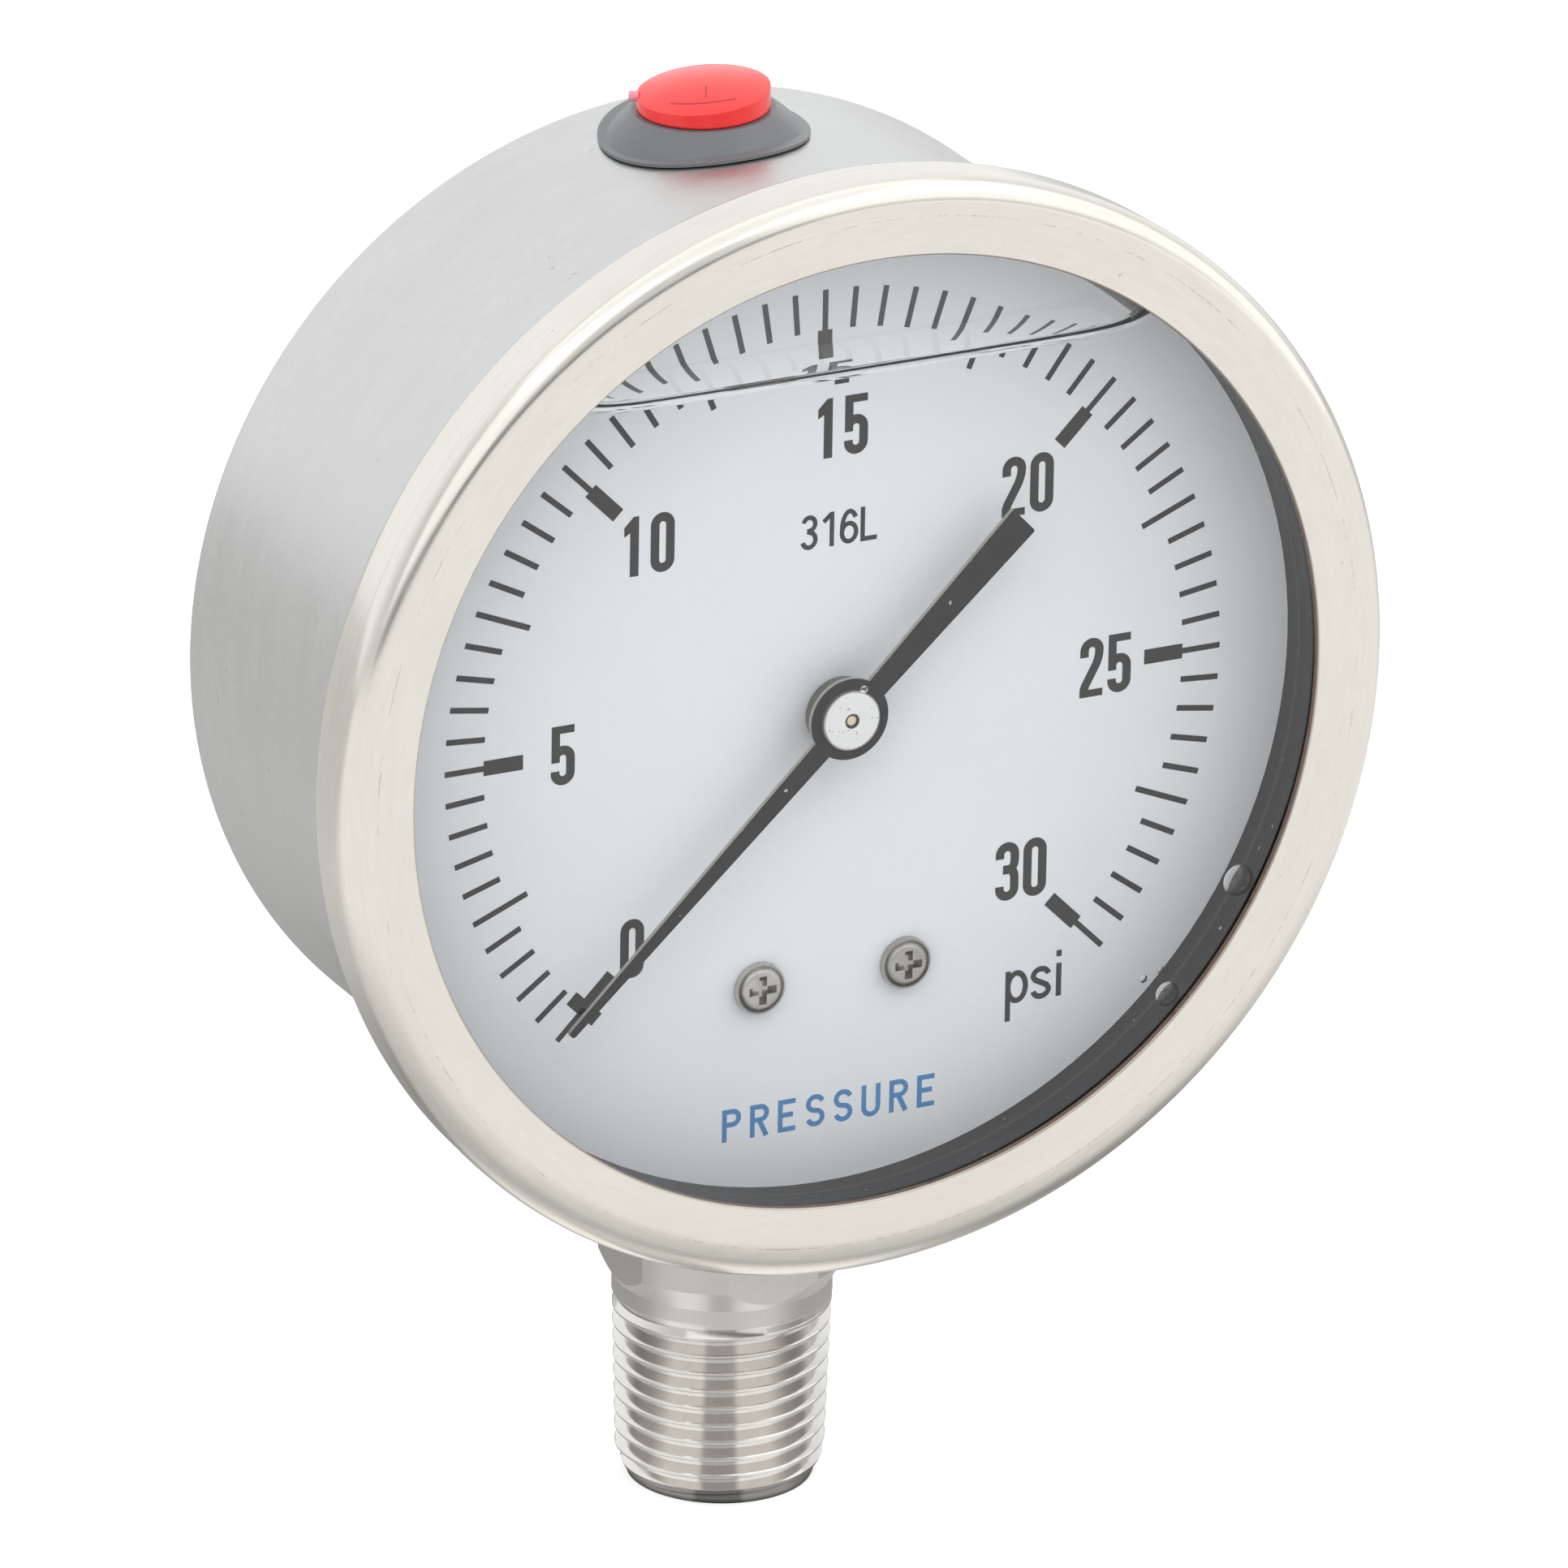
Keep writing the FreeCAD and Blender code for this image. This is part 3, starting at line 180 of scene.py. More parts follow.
class Recipe(Graph):
    """A material on one Principled shader, with what colours and roughens it."""

    def __init__(self, name, colour, metallic=0.0, roughness=0.5, **settings):
        self.material = bpy.data.materials.new(name)
        self.material.use_nodes = True
        super().__init__(self.material.node_tree)
        self.shader = self.tree.nodes["Principled BSDF"]
        self.output = self.tree.nodes["Material Output"]
        plain = {"Base Color": (*colour, 1), "Metallic": metallic, "Roughness": roughness}
        self.feed({**plain, **settings})

    def feed(self, values):
        """Sets or links the shader's inputs."""
        self.set(self.shader, values)

    def cover(self, factor, colour):
        """Lays a colour over what makes the base colour so far, by a factor."""
        base = self.shader.inputs["Base Color"].links[0].from_socket
        self.feed({"Base Color": self.tint(factor, base, colour)})

    def grained(self, colour, rough, height, depth, strength=0.5):
        """Links the colour and roughness, and a bump; depth is what a height of 1 means."""
        bump = self.add("Bump", {"Height": height, "Distance": depth, "Strength": strength})
        self.feed({"Base Color": colour, "Roughness": rough, "Normal": bump.outputs["Normal"]})

    def place(self):
        """The point in the row frame, which moves with its piece."""
        return self.add("TexCoord").outputs["Object"]

    def noise(self, scale, detail=3.0, rough=0.55, place=None):
        """Fractal noise from 0 to 1; scale is in cycles per metre."""
        values = {"Vector": place or self.place(), "Scale": scale}
        values.update({"Detail": detail, "Roughness": rough})
        return self.add("TexNoise", values).outputs["Fac"]

    def spread(self, noise, new_low, new_high):
        """Noise stretched to a range. Nearly all of it lies between 0.3 and 0.7."""
        return self.remap(noise, 0.3, 0.7, new_low, new_high)

    def specks(self, scale, level, strength, width=0.03, detail=1.0):
        """Spots where fine noise rises above a level, fading in over a width."""
        return self.remap(self.noise(scale, detail), level, level + width, 0, strength)

    def tint(self, factor, first, second):
        """A colour between two, by a factor."""
        ends = [(*end, 1) if isinstance(end, tuple) else end for end in (first, second)]
        values = {"Factor": factor, 6: ends[0], 7: ends[1]}
        return self.add("Mix", values, data_type="RGBA").outputs[2]

    def polar(self, axis, centre):
        """(direction x, direction 2, radius, height) of the place, about an axis, Y or Z."""
        split = self.add("SeparateXYZ", {"Vector": self.place()})
        across = split.outputs["X"]
        side = self.math("SUBTRACT", split.outputs["Z" if axis == "Y" else "Y"], centre)
        squared = self.math("MULTIPLY_ADD", side, side, self.product(across, across))
        radius = self.math("SQRT", squared)
        safe = self.math("MAXIMUM", radius, AXIS_GUARD)
        first = self.math("DIVIDE", across, safe)
        second = self.math("DIVIDE", side, safe)
        return first, second, radius, split.outputs[axis]

    def brushed_place(self, axis, centre, along):
        """Coordinates that stretch noise round an axis: along is how long a streak is, 0 to 1."""
        first, second, radius, height = self.polar(axis, centre)
        values = {
            "X": self.product(first, along),
            "Y": self.product(second, along),
            "Z": self.math("ADD", radius, height),
        }
        return self.add("CombineXYZ", values).outputs["Vector"]


def scaled(colour, factor):
    """A colour made darker or lighter, no lighter than white."""
    return tuple(min(1.0, factor * part) for part in colour)


def coat(mesh, material):
    """Gives a mesh a finish in place of what it had."""
    mesh.materials.clear()
    mesh.materials.append(material)
    return mesh


def dress(material, *names):
    """Gives CAD nodes a finish."""
    for name in names:
        coat(nodes[name].data, material)


# Metals


def turned_steel(name, colour, roughness, axis, centre, along, grain, depth, contrast):
    """Steel with fine streaks round an axis, and faint stains."""
    recipe = Recipe(name, colour, metallic=1.0, roughness=roughness)
    streak_place = recipe.brushed_place(axis, centre, along)
    fine = recipe.noise(grain, 4.0, 0.7, streak_place)
    broad = recipe.noise(grain * 0.18, 2.0, place=streak_place)
    cloud = recipe.noise(38.0, 4.0)
    streaks = recipe.math("MULTIPLY_ADD", broad, 0.35, recipe.product(fine, 0.65))
    darker = scaled(colour, 1 - contrast)
    lighter = scaled(colour, 1 + 0.3 * contrast)
    shade = recipe.tint(recipe.spread(streaks, 0, 1), darker, lighter)
    stain = recipe.tint(recipe.remap(cloud, 0.42, 0.75, 0, 0.5), shade, darker)
    rough = recipe.spread(streaks, roughness * 0.82, roughness * 1.22)
    recipe.grained(stain, rough, streaks, depth)
    return recipe


def case_steel():
    """Satin drawn steel, brushed round the dial axis, with a few dark specks."""
    look = {"along": 0.012, "grain": 2600, "depth": 5e-6, "contrast": 0.1}
    recipe = turned_steel("case_steel", (0.66, 0.66, 0.645), 0.34, "Y", DIAL_Z, **look)
    recipe.cover(recipe.specks(620.0, 0.77, 0.35), (0.34, 0.33, 0.31))
    return recipe.material


LIP_EDGE_R = 47.3 * MM
LIP_SHADOW = 0.25 * MM
SPIN_MARK_R = 51.3 * MM
SPIN_MARK_HALF_WIDTH = 0.11 * MM
SPIN_MARK_FRONT = (-28.6 * MM, -29.0 * MM)


def bezel_steel():
    """Warmer steel with a broken spinning mark round its front, specks and painted shade along its
    inner lip.
    """
    look = {"along": 0.01, "grain": 1500, "depth": 3e-6, "contrast": 0.08}
    recipe = turned_steel("bezel_steel", (0.80, 0.765, 0.70), 0.19, "Y", DIAL_Z, **look)
    first, second, radius, height = recipe.polar("Y", DIAL_Z)
    off_mark = recipe.math("ABSOLUTE", recipe.math("SUBTRACT", radius, SPIN_MARK_R))
    values = {"X": first, "Y": second, "Z": height}
    round_place = recipe.add("CombineXYZ", values).outputs["Vector"]
    broken = recipe.noise(9.0, 5.0, 0.8, round_place)
    line = recipe.remap(off_mark, 0, SPIN_MARK_HALF_WIDTH, 1, 0)
    on_front = recipe.remap(height, *SPIN_MARK_FRONT, 0, 1)
    gaps = recipe.remap(broken, 0.49, 0.62, 0, 1)
    mark = recipe.product(recipe.product(line, gaps), on_front)
    both = recipe.math("MAXIMUM", recipe.product(mark, 0.6), recipe.specks(900.0, 0.79, 0.4))
    recipe.cover(both, (0.30, 0.27, 0.23))
    # Painted shade: the steel darkens over the last quarter millimetre of the inner lip, next to
    # the window.
    lip = recipe.remap(radius, LIP_EDGE_R, LIP_EDGE_R + LIP_SHADOW, 1, 0)
    recipe.cover(lip, (0.27, 0.20, 0.16))
    return recipe.material


STEM_FOOT_SHADE = (0.15 * MM, 0.5 * MM)
THREAD_TO_NECK = (18.7 * MM, 19.3 * MM)
THREAD_ROUGHNESS = 0.13
NECK_ROUGHNESS = 0.33


def machined_steel():
    """Bright turned steel with tool marks round the stem, duller above the thread, with painted
    shade at its foot.
    """
    look = {"along": 0.02, "grain": 2600, "depth": 2e-6, "contrast": 0.08}
    recipe = turned_steel("machined_steel", (0.74, 0.715, 0.675), 0.15, "Z", 0.0, **look)
    height = recipe.polar("Z", 0.0)[3]
    rough = recipe.remap(height, *THREAD_TO_NECK, THREAD_ROUGHNESS, NECK_ROUGHNESS)
    recipe.feed({"Roughness": rough})
    # Painted shade: the stem darkens over its lowest half millimetre, next to the floor.
    recipe.cover(recipe.remap(height, *STEM_FOOT_SHADE, 0.8, 0), (0.12, 0.12, 0.12))
    return recipe.material


def plain_metal(name, colour, roughness):
    """Small metal pieces: fine even grain, faint blotches and dulled patches."""
    recipe = Recipe(name, colour, metallic=1.0, roughness=roughness)
    grain = recipe.noise(900.0, 5.0, 0.7)
    blotch = recipe.noise(108.0)
    shade = recipe.tint(recipe.remap(blotch, 0.4, 0.75, 0, 1), colour, scaled(colour, 0.7))
    rough = recipe.spread(grain, roughness * 0.8, roughness * 1.3)
    recipe.grained(shade, rough, grain, 4e-6, 0.4)
    return recipe.material


def pitted_cap():
    """Bright pointer cap with a few dark pits and a matt face."""
    recipe = Recipe("cap_silver", (0.86, 0.87, 0.86), metallic=1.0, roughness=0.42)
    pitted = recipe.specks(2400.0, 0.68, 0.75, width=0.06, detail=2.0)
    shade = recipe.tint(pitted, (0.88, 0.89, 0.88), (0.25, 0.24, 0.22))
    grain = recipe.noise(5200.0, place=recipe.brushed_place("Y", DIAL_Z, 0.02))
    recipe.grained(shade, recipe.spread(grain, 0.34, 0.5), grain, 4e-6)
    return recipe.material


# Paints, print, plastics and rubber


def dull_surface(name, colour, roughness, scale, depth, spread, **settings):
    """A non-metal with a fine grain in its colour, roughness and height."""
    recipe = Recipe(name, colour, roughness=roughness, **settings)
    grain = recipe.noise(scale, 4.0, 0.65)
    patches = recipe.noise(scale * 0.05)
    mixed = recipe.math("MULTIPLY_ADD", patches, 0.5, recipe.product(grain, 0.5))
    darker, lighter = scaled(colour, 1 - spread), scaled(colour, 1 + spread)
    shade = recipe.tint(recipe.remap(mixed, 0.35, 0.65, 0, 1), darker, lighter)
    rough = recipe.spread(grain, roughness * 0.88, min(1.0, roughness * 1.15))
    recipe.grained(shade, rough, grain, depth)
    return recipe


def pointer_paint():
    """Matt black paint with a few white specks, and a painted highlight on the blade's cut edges.
    """
    recipe = dull_surface("pointer_black", (0.014, 0.014, 0.0135), 0.5, 500.0, 3e-7, 0.06)
    recipe.cover(recipe.specks(1300.0, 0.80, 0.7, detail=0.0), (0.75, 0.75, 0.74))
    # Painted highlight: faces that turn away from the dial's axis, the blade's cut edges, are
    # lightened.
    true_normal = recipe.add("NewGeometry").outputs["True Normal"]
    normal = recipe.add("SeparateXYZ", {"Vector": true_normal})
    facing = recipe.math("ABSOLUTE", normal.outputs["Y"])
    recipe.cover(recipe.remap(facing, 0.3, 0.6, 1, 0), (0.36, 0.35, 0.33))
    return recipe.material


SEAL_STEP_Y = -21.5 * MM
SEAL_BAND_FADE = 0.3 * MM
SEAL_EDGE_SHINE = (0.1 * MM, 0.7 * MM)


def black_rubber():
    """Black seal with pale scuffs that carry painted glints, painted glint specks, browner behind
    its step, and a painted highlight along the step's edge.
    Liquid wets it, so it hardly shines."""
    wetted = {"Specular IOR Level": 0.2}
    colour = (0.011, 0.011, 0.0125)
    recipe = dull_surface("black_rubber", colour, 0.36, 1400.0, 8e-6, 0.3, **wetted)
    # Pale streaks round the seal: scuffs, lightened as painted glints.
    scuff_and_glint = recipe.noise(700.0, 3.0, 0.8, recipe.brushed_place("Y", DIAL_Z, 0.05))
    recipe.cover(recipe.remap(scuff_and_glint, 0.66, 0.74, 0, 0.35), (0.16, 0.17, 0.18))
    # Painted glints: small pale specks.
    recipe.cover(recipe.specks(850.0, 0.76, 1), (0.6, 0.62, 0.64))
    height = recipe.polar("Y", DIAL_Z)[3]
    deep = recipe.remap(height, SEAL_STEP_Y, SEAL_STEP_Y + SEAL_BAND_FADE, 0, 0.6)
    recipe.cover(deep, (0.026, 0.023, 0.020))
    # Painted highlight: a paler band along the edge of the step.
    off_step = recipe.math("ABSOLUTE", recipe.math("SUBTRACT", height, SEAL_STEP_Y))
    recipe.cover(recipe.remap(off_step, *SEAL_EDGE_SHINE, 0.55, 0), (0.105, 0.108, 0.105))
    return recipe.material


# Glass and liquid


def optical(name, ior):
    """Clear glass, liquid or air, not quite smooth in places. Light straight from lamps, or off
    matt surfaces, passes it unbent."""
    settings = {"IOR": ior, "Transmission Weight": 1.0}
    recipe = Recipe(name, (1.0, 1.0, 1.0), roughness=0.0, **settings)
    smear = recipe.noise(26.0)
    recipe.feed({"Roughness": recipe.remap(smear, 0.45, 0.8, 0.0, 0.008)})
    paths = recipe.add("LightPath")
    either = recipe.math("MAXIMUM", paths.outputs["Is Shadow Ray"], paths.outputs["Is Diffuse Ray"])
    clear = recipe.add("BsdfTransparent")
    mix = recipe.add("MixShader", {0: either, 1: recipe.shader.outputs[0], 2: clear.outputs[0]})
    recipe.set(recipe.output, {"Surface": mix.outputs[0]})
    return recipe.material


def wetted_face():
    """The face where liquid lies on glass. Their indices match, so nothing shows of it."""
    recipe = Recipe("wetted_face", (1, 1, 1), roughness=0.0)
    clear = recipe.add("BsdfTransparent")
    recipe.set(recipe.output, {"Surface": clear.outputs[0]})
    return recipe.material


# Mesh building blocks

SAME_PLACE = 1e-7


def smooth_below(piece, degrees):
    """Smooth shading, with edges that turn by more than an angle kept sharp."""
    mesh = piece.data
    mesh.shade_smooth()
    work = bmesh.new()
    work.from_mesh(mesh)
    bmesh.ops.recalc_face_normals(work, faces=work.faces)
    limit = math.radians(degrees)
    for edge in work.edges:
        edge.smooth = len(edge.link_faces) == 2 and edge.calc_face_angle(0.0) < limit
    work.to_mesh(mesh)
    work.free()


def new_piece(name, vertices, faces, materials, body, slot, degrees):
    """A mesh piece that rides on a body, smooth where it turns by less than an angle."""
    mesh = bpy.data.meshes.new(name)
    mesh.from_pydata([tuple(v) for v in vertices], [], faces)
    mesh.validate()
    for material in materials:
        mesh.materials.append(material)
    piece = linked(name, mesh)
    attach(piece, body)
    smooth_below(piece, degrees)
    return piece


def lofted(rings, closed=False):
    """Vertices and faces through rings of equally many points. Open ends are capped."""
    vertices = [place for ring in rings for place in ring]
    around = len(rings[0])
    faces = []
    for row in range(len(rings) if closed else len(rings) - 1):
        low, high = row * around, (row + 1) % len(rings) * around
        for index in range(around):
            after = (index + 1) % around
            faces.append((low + index, low + after, high + after, high + index))
    if not closed:
        faces.append(list(range(around))[::-1])
        faces.append(list(range(len(vertices) - around, len(vertices))))
    return vertices, faces


def ellipse(u, v, reach_u, reach_v, start, end, steps=14):
    """Points of an elliptical arc between two angles in degrees."""
    turns = [math.radians(start + (end - start) * step / steps) for step in range(steps + 1)]
    return [(u + reach_u * math.cos(turn), v + reach_v * math.sin(turn)) for turn in turns]


class Ink:
    """Flat printed shapes that stand a hair off the dial; (u, v) are in mm from its centre."""

    STEP = 0.003 * MM
    LIFT = 0.02 * MM
    SINK = 0.01 * MM
    MITRE_LIMIT = 0.35

    def __init__(self):
        self.vertices = []
        self.faces = []
        self.layers = 0

    def point(self, place, front):
        """The point over or under a place on the dial. Shapes that cross differ a little."""
        lift = self.LIFT + self.STEP * (self.layers % 4) if front else -self.SINK
        return Vector((place[0] * MM, DIAL_FACE_Y - lift, DIAL_Z + place[1] * MM))

    def add(self, rings, closed=False):
        """Adds a shape that runs through rings of points."""
        start = len(self.vertices)
        vertices, faces = lofted(rings, closed)
        self.vertices += vertices
        self.faces += [[start + index for index in face] for face in faces]
        self.layers += 1

    def area(self, outline):
        """A filled outline."""
        self.add([[self.point(place, front) for place in outline] for front in (True, False)])

    def stroke(self, path, width, closed=False):
        """A line of even width along a path, with square ends and mitred turns."""
        places = [Vector(place) for place in path]
        rings = []
        for index, here in enumerate(places):
            steps = []
            if closed or index:
                steps.append((here - places[index - 1]).normalized())
            if closed or index + 1 < len(places):
                steps.append((places[(index + 1) % len(places)] - here).normalized())
            along = sum(steps, Vector((0, 0))).normalized()
            mitre = max(self.MITRE_LIMIT, along.dot(steps[0]))
            side = Vector((-along.y, along.x)) * width / 2 / mitre
            left, right = here + side, here - side
            corners = ((right, True), (left, True), (left, False), (right, False))
            rings.append([self.point(place, front) for place, front in corners])
        self.add(rings, closed)

    def piece(self, name, material, slot):
        """Makes one flat-shaded piece of the printed shapes."""
        new_piece(name, self.vertices, self.faces, [material], "case", slot, 0)


# Dial print. Its widths, heights and places are in mm on the dial.

ZERO_DEG = 225.0
DEG_PER_PSI = -9.0
FULL_SCALE = 30
TICK_OUTER = 40.7
TICK_INNER = 36.7
MEDIUM_INNER = 34.7
BLOCK_INNER = 32.62
TICK_WIDTH = 0.58
BLOCK_WIDTH = 1.5
BLOCK_LAP = 0.05
TICK_CORNER = 0.03
ZERO_BAND = (36.0, 37.5)
ZERO_BAND_WIDTH = 3.74


def radial_bar(ink, degrees, inner, outer, width):
    """A bar along a radius of the dial, with its corners cut off a little."""
    turn = math.radians(degrees)
    out = Vector((math.cos(turn), math.sin(turn)))
    side = Vector((-out.y, out.x))
    half, cut = width / 2, width / 2 - TICK_CORNER
    low, high = inner + TICK_CORNER, outer - TICK_CORNER
    outline = [(inner, cut), (inner, -cut), (low, -half), (high, -half)]
    outline += [(outer, -cut), (outer, cut), (high, half), (low, half)]
    ink.area([out * reach + side * offset for reach, offset in outline])


def dial_scale(material):
    """Ticks every half psi, longer every 2.5, with a block every 5 and a cross band at zero."""
    ink = Ink()
    for half_psi in range(2 * FULL_SCALE + 1):
        degrees = ZERO_DEG + DEG_PER_PSI * half_psi / 2
        if half_psi % 10 == 0:
            radial_bar(ink, degrees, TICK_INNER - BLOCK_LAP, TICK_OUTER, TICK_WIDTH)
            radial_bar(ink, degrees, BLOCK_INNER, TICK_INNER, BLOCK_WIDTH)
        else:
            inner = MEDIUM_INNER if half_psi % 5 == 0 else TICK_INNER
            radial_bar(ink, degrees, inner, TICK_OUTER, TICK_WIDTH)
    radial_bar(ink, ZERO_DEG, *ZERO_BAND, ZERO_BAND_WIDTH)
    ink.piece("dial_scale", material, "dial_print")


DIGIT_HEIGHT = 5.95
DIGIT_WIDTH = 2.48
DIGIT_STROKE = 0.9
DIGIT_PITCH = 2.95


def digit_shapes():
    """The condensed bold figures, each from its lower left corner, as a list of strokes,
    (path, width), and of outlines, (path, None)."""
    reach = (DIGIT_WIDTH - DIGIT_STROKE) / 2
    middle, near, far = DIGIT_WIDTH / 2, DIGIT_STROKE / 2, DIGIT_WIDTH - DIGIT_STROKE / 2
    top_arc = ellipse(middle, DIGIT_HEIGHT - near - reach, reach, reach, 180, 0)
    bottom_arc = ellipse(middle, near + reach, reach, reach, 0, -180)
    flag = [(0.82, 0), (1.72, 0), (1.72, 5.95), (1.15, 5.93), (0.2, 4.95), (0.2, 4.02)]
    flag.append((0.82, 4.38))
    leg = [(far - 0.03, 4.2), (far - 0.14, 3.75), (far - 0.32, 3.25)]
    foot = [(near + 0.14, 1.2), (near + 0.02, 0.85), (near, 0)]
    waist = 0.53 * DIGIT_HEIGHT
    upper = ellipse(far - 0.58, waist + 0.95, 0.58, 0.95, 0, -90)
    lower = ellipse(far - 0.58, waist - 0.95, 0.58, 0.95, 90, 0)
    bowl = ellipse(middle, 2.72, reach, 0.78, 160, 0)
    hook = [(0.06, 2.3), (0.92, 2.3), (0.92, 5.17), (2.41, 5.17), (2.41, 5.95), (0.06, 5.95)]
    return {
        "0": [(top_arc + bottom_arc, DIGIT_STROKE)],
        "1": [(flag, None)],
        "2": [
            ([(near, 4.05), *top_arc, *leg, *foot], DIGIT_STROKE),
            ([(0, 0.37), (DIGIT_WIDTH - 0.04, 0.37)], 0.74),
        ],
        "3": [
            ([(near, 4.3), *top_arc, *upper, (0.8, waist)], DIGIT_STROKE),
            ([(0.8, waist), *lower, *bottom_arc, (near, 1.5)], DIGIT_STROKE),
        ],
        "5": [([*bowl, *bottom_arc, (near, 1.45)], DIGIT_STROKE), (hook, None)],
    }


def dial_numerals(material):
    """The figures of the scale, each on its own centre."""
    centres = {
        "0": (-21.05, -20.7),
        "5": (-28.5, 0.0),
        "10": (-19.9, 19.7),
        "15": (0.1, 28.35),
        "20": (19.8, 19.5),
        "25": (28.5, -0.13),
        "30": (19.95, -19.5),
    }
    ink = Ink()
    figures = digit_shapes()
    for text, (u, v) in centres.items():
        start = u - (DIGIT_WIDTH + DIGIT_PITCH * (len(text) - 1)) / 2
        for index, figure in enumerate(text):
            corner = Vector((start + DIGIT_PITCH * index, v - DIGIT_HEIGHT / 2))
            for path, width in figures[figure]:
                placed = [corner + Vector(place) for place in path]
                if width:
                    ink.stroke(placed, width, closed=figure == "0")
                else:
                    ink.area(placed)
    ink.piece("dial_numerals", material, "dial_print")


def lettering(name, material, slot, base, width, paths):
    """Strokes of one width over a base line. A path that comes back to its start is a ring."""
    ink = Ink()
    for path in paths:
        placed = [(u, base + v) for u, v in path]
        ring = math.dist(path[0], path[-1]) < SAME_PLACE
        ink.stroke(placed[:-1] if ring else placed, width, closed=ring)
    ink.piece(name, material, slot)


def steel_grade(material):
    """The wetted parts' steel grade, in light figures above the centre."""
    width, height = 0.46, 3.45
    low, high, waist = width / 2, height - width / 2, 0.54 * height
    three, one, six, foot = -3.15, -0.78, 1.02, 2.45
    paths = [
        [*ellipse(three, high - 0.66, 0.62, 0.66, 165, -75), (three - 0.2, waist)],
        [(three - 0.2, waist), *ellipse(three - 0.02, low + 0.75, 0.68, 0.75, 80, -165)],
        [(one, 0), (one, height)],
        [(one - 0.87, 2.55), (one - 0.12, 3.22)],
        ellipse(six, low + 0.9, 0.74, 0.9, 0, 360, 28),
        [(six - 0.74, low + 0.9), *ellipse(six + 0.06, low + 1.28, 0.78, 1.72, 172, 38)],
        [(foot, height), (foot, low), (foot + 1.5, low)],
    ]
    lettering("dial_grade", material, "dial_print", 16.5, width, paths)


def unit_letters(material):
    """The unit, psi, in plain letters."""
    width, height = 0.56, 3.37
    low, high, middle = width / 2, height - width / 2, height / 2
    stem, curl, dotted = 18.83, 22.35, 24.25
    reach, rise = 0.83, 0.73
    upper = ellipse(curl, high - rise, reach, rise, 12, 180)
    spine = [(curl - 0.62, middle + 0.34), (curl + 0.6, middle - 0.3)]
    lower = ellipse(curl, low + rise, reach, rise, 0, -168)
    paths = [
        [(stem, -1.75), (stem, height)],
        ellipse(stem + 0.93, middle, 0.94, middle - low, 0, 360, 32),
        [*upper, *spine, *lower],
        [(dotted, 0), (dotted, height)],
        [(dotted, 4.05), (dotted, 4.7)],
    ]
    lettering("dial_unit", material, "dial_print", -33.2, width, paths)


WORD = "PRESSURE"
WORD_HEIGHT = 3.3
WORD_STROKE = 0.5
LETTER_WIDTH = 2.0
LETTER_PITCH = 2.95


def plain_word(material):
    """A plain word for what the dial shows, low on its face."""
    right = LETTER_WIDTH - WORD_STROKE
    centre = right / 2
    low, high = WORD_STROKE / 2, WORD_HEIGHT - WORD_STROKE / 2
    middle = 0.52 * WORD_HEIGHT
    lobe = (WORD_HEIGHT - middle - low) / 2
    rise = (WORD_HEIGHT - WORD_STROKE) / 4
    stem = [(0, 0), (0, WORD_HEIGHT)]
    bow = ellipse(right - lobe, (high + middle) / 2, lobe, lobe, 90, -90)
    bow = [(0, high), *bow, (0, middle)]
    bars = [[(0, v), (right + more, v)] for v, more in ((low, 0.1), (middle, -0.15), (high, 0.1))]
    upper = ellipse(centre, high - rise, centre, rise, 15, 270)
    lower = ellipse(centre, low + rise, centre, rise, 90, -165)
    cup = ellipse(centre, low + centre, centre, centre, 180, 360)
    letters = {
        "P": [stem, bow],
        "R": [stem, bow, [(0.7, middle), (right, 0)]],
        "E": [stem, *bars],
        "S": [[*upper, *lower[1:]]],
        "U": [[(0, WORD_HEIGHT), *cup, (right, WORD_HEIGHT)]],
    }
    paths = []
    for index, letter in enumerate(WORD):
        left = low + LETTER_PITCH * (index - (len(WORD) - 1) / 2) - LETTER_WIDTH / 2
        paths += [[(left + u, v) for u, v in path] for path in letters[letter]]
    lettering("dial_word", material, "blue_print", -42.2, WORD_STROKE, paths)


# Bezel

BEZEL_STEPS = 320
# The corners of the bezel's section, as (radius, y, rounding) in mm
BEZEL_PROFILE = [
    (47.3, -28.7, 0.0),
    (47.3, -29.35, 0.25),
    (51.2, -29.8, 8.0),
    (54.65, -29.8, 2.3),
    (54.65, -26.8, 0.1),
    (54.5, -26.5, 0.1),
    (54.5, -21.6, 2.0),
    (49.72, -21.6, 0.4),
    (49.72, -22.7, 0.0),
    (53.4, -22.7, 0.0),
    (53.4, -28.7, 0.0),
]


def rounded(outline, steps=9):
    """An outline of (u, v, radius) corners with each corner's arc drawn in."""
    points = []
    for index, (u, v, radius) in enumerate(outline):
        if radius == 0.0:
            points.append((u, v))
            continue
        here = Vector((u, v))
        arrive = (Vector(outline[index - 1][:2]) - here).normalized()
        leave = (Vector(outline[(index + 1) % len(outline)][:2]) - here).normalized()
        half = arrive.angle(leave) / 2
        centre = here + (arrive + leave).normalized() * radius / math.sin(half)
        start = here + arrive * radius / math.tan(half) - centre
        end = here + leave * radius / math.tan(half) - centre
        first = math.degrees(math.atan2(start.y, start.x))
        last = first - math.degrees(start.angle_signed(end))
        points += ellipse(centre.x, centre.y, radius, radius, first, last, steps)
    return points


def turned_bezel(steel):
    """The bezel on its CAD outline, turned fine enough for a polished surface."""
    profile = rounded(BEZEL_PROFILE)
    rings = []
    for turn in spaced(0, 2 * math.pi, BEZEL_STEPS):
        rings.append([on_circle(radius * MM, turn, y * MM) for radius, y in profile])
    loop = lofted(rings, closed=True)
    piece = new_piece("turned_bezel", *loop, [steel], "case", "bezel_steel", 30)
    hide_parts("bezel_ring")


# Window and fill liquid. The liquid climbs each wall from its level, to meet it at a slope.

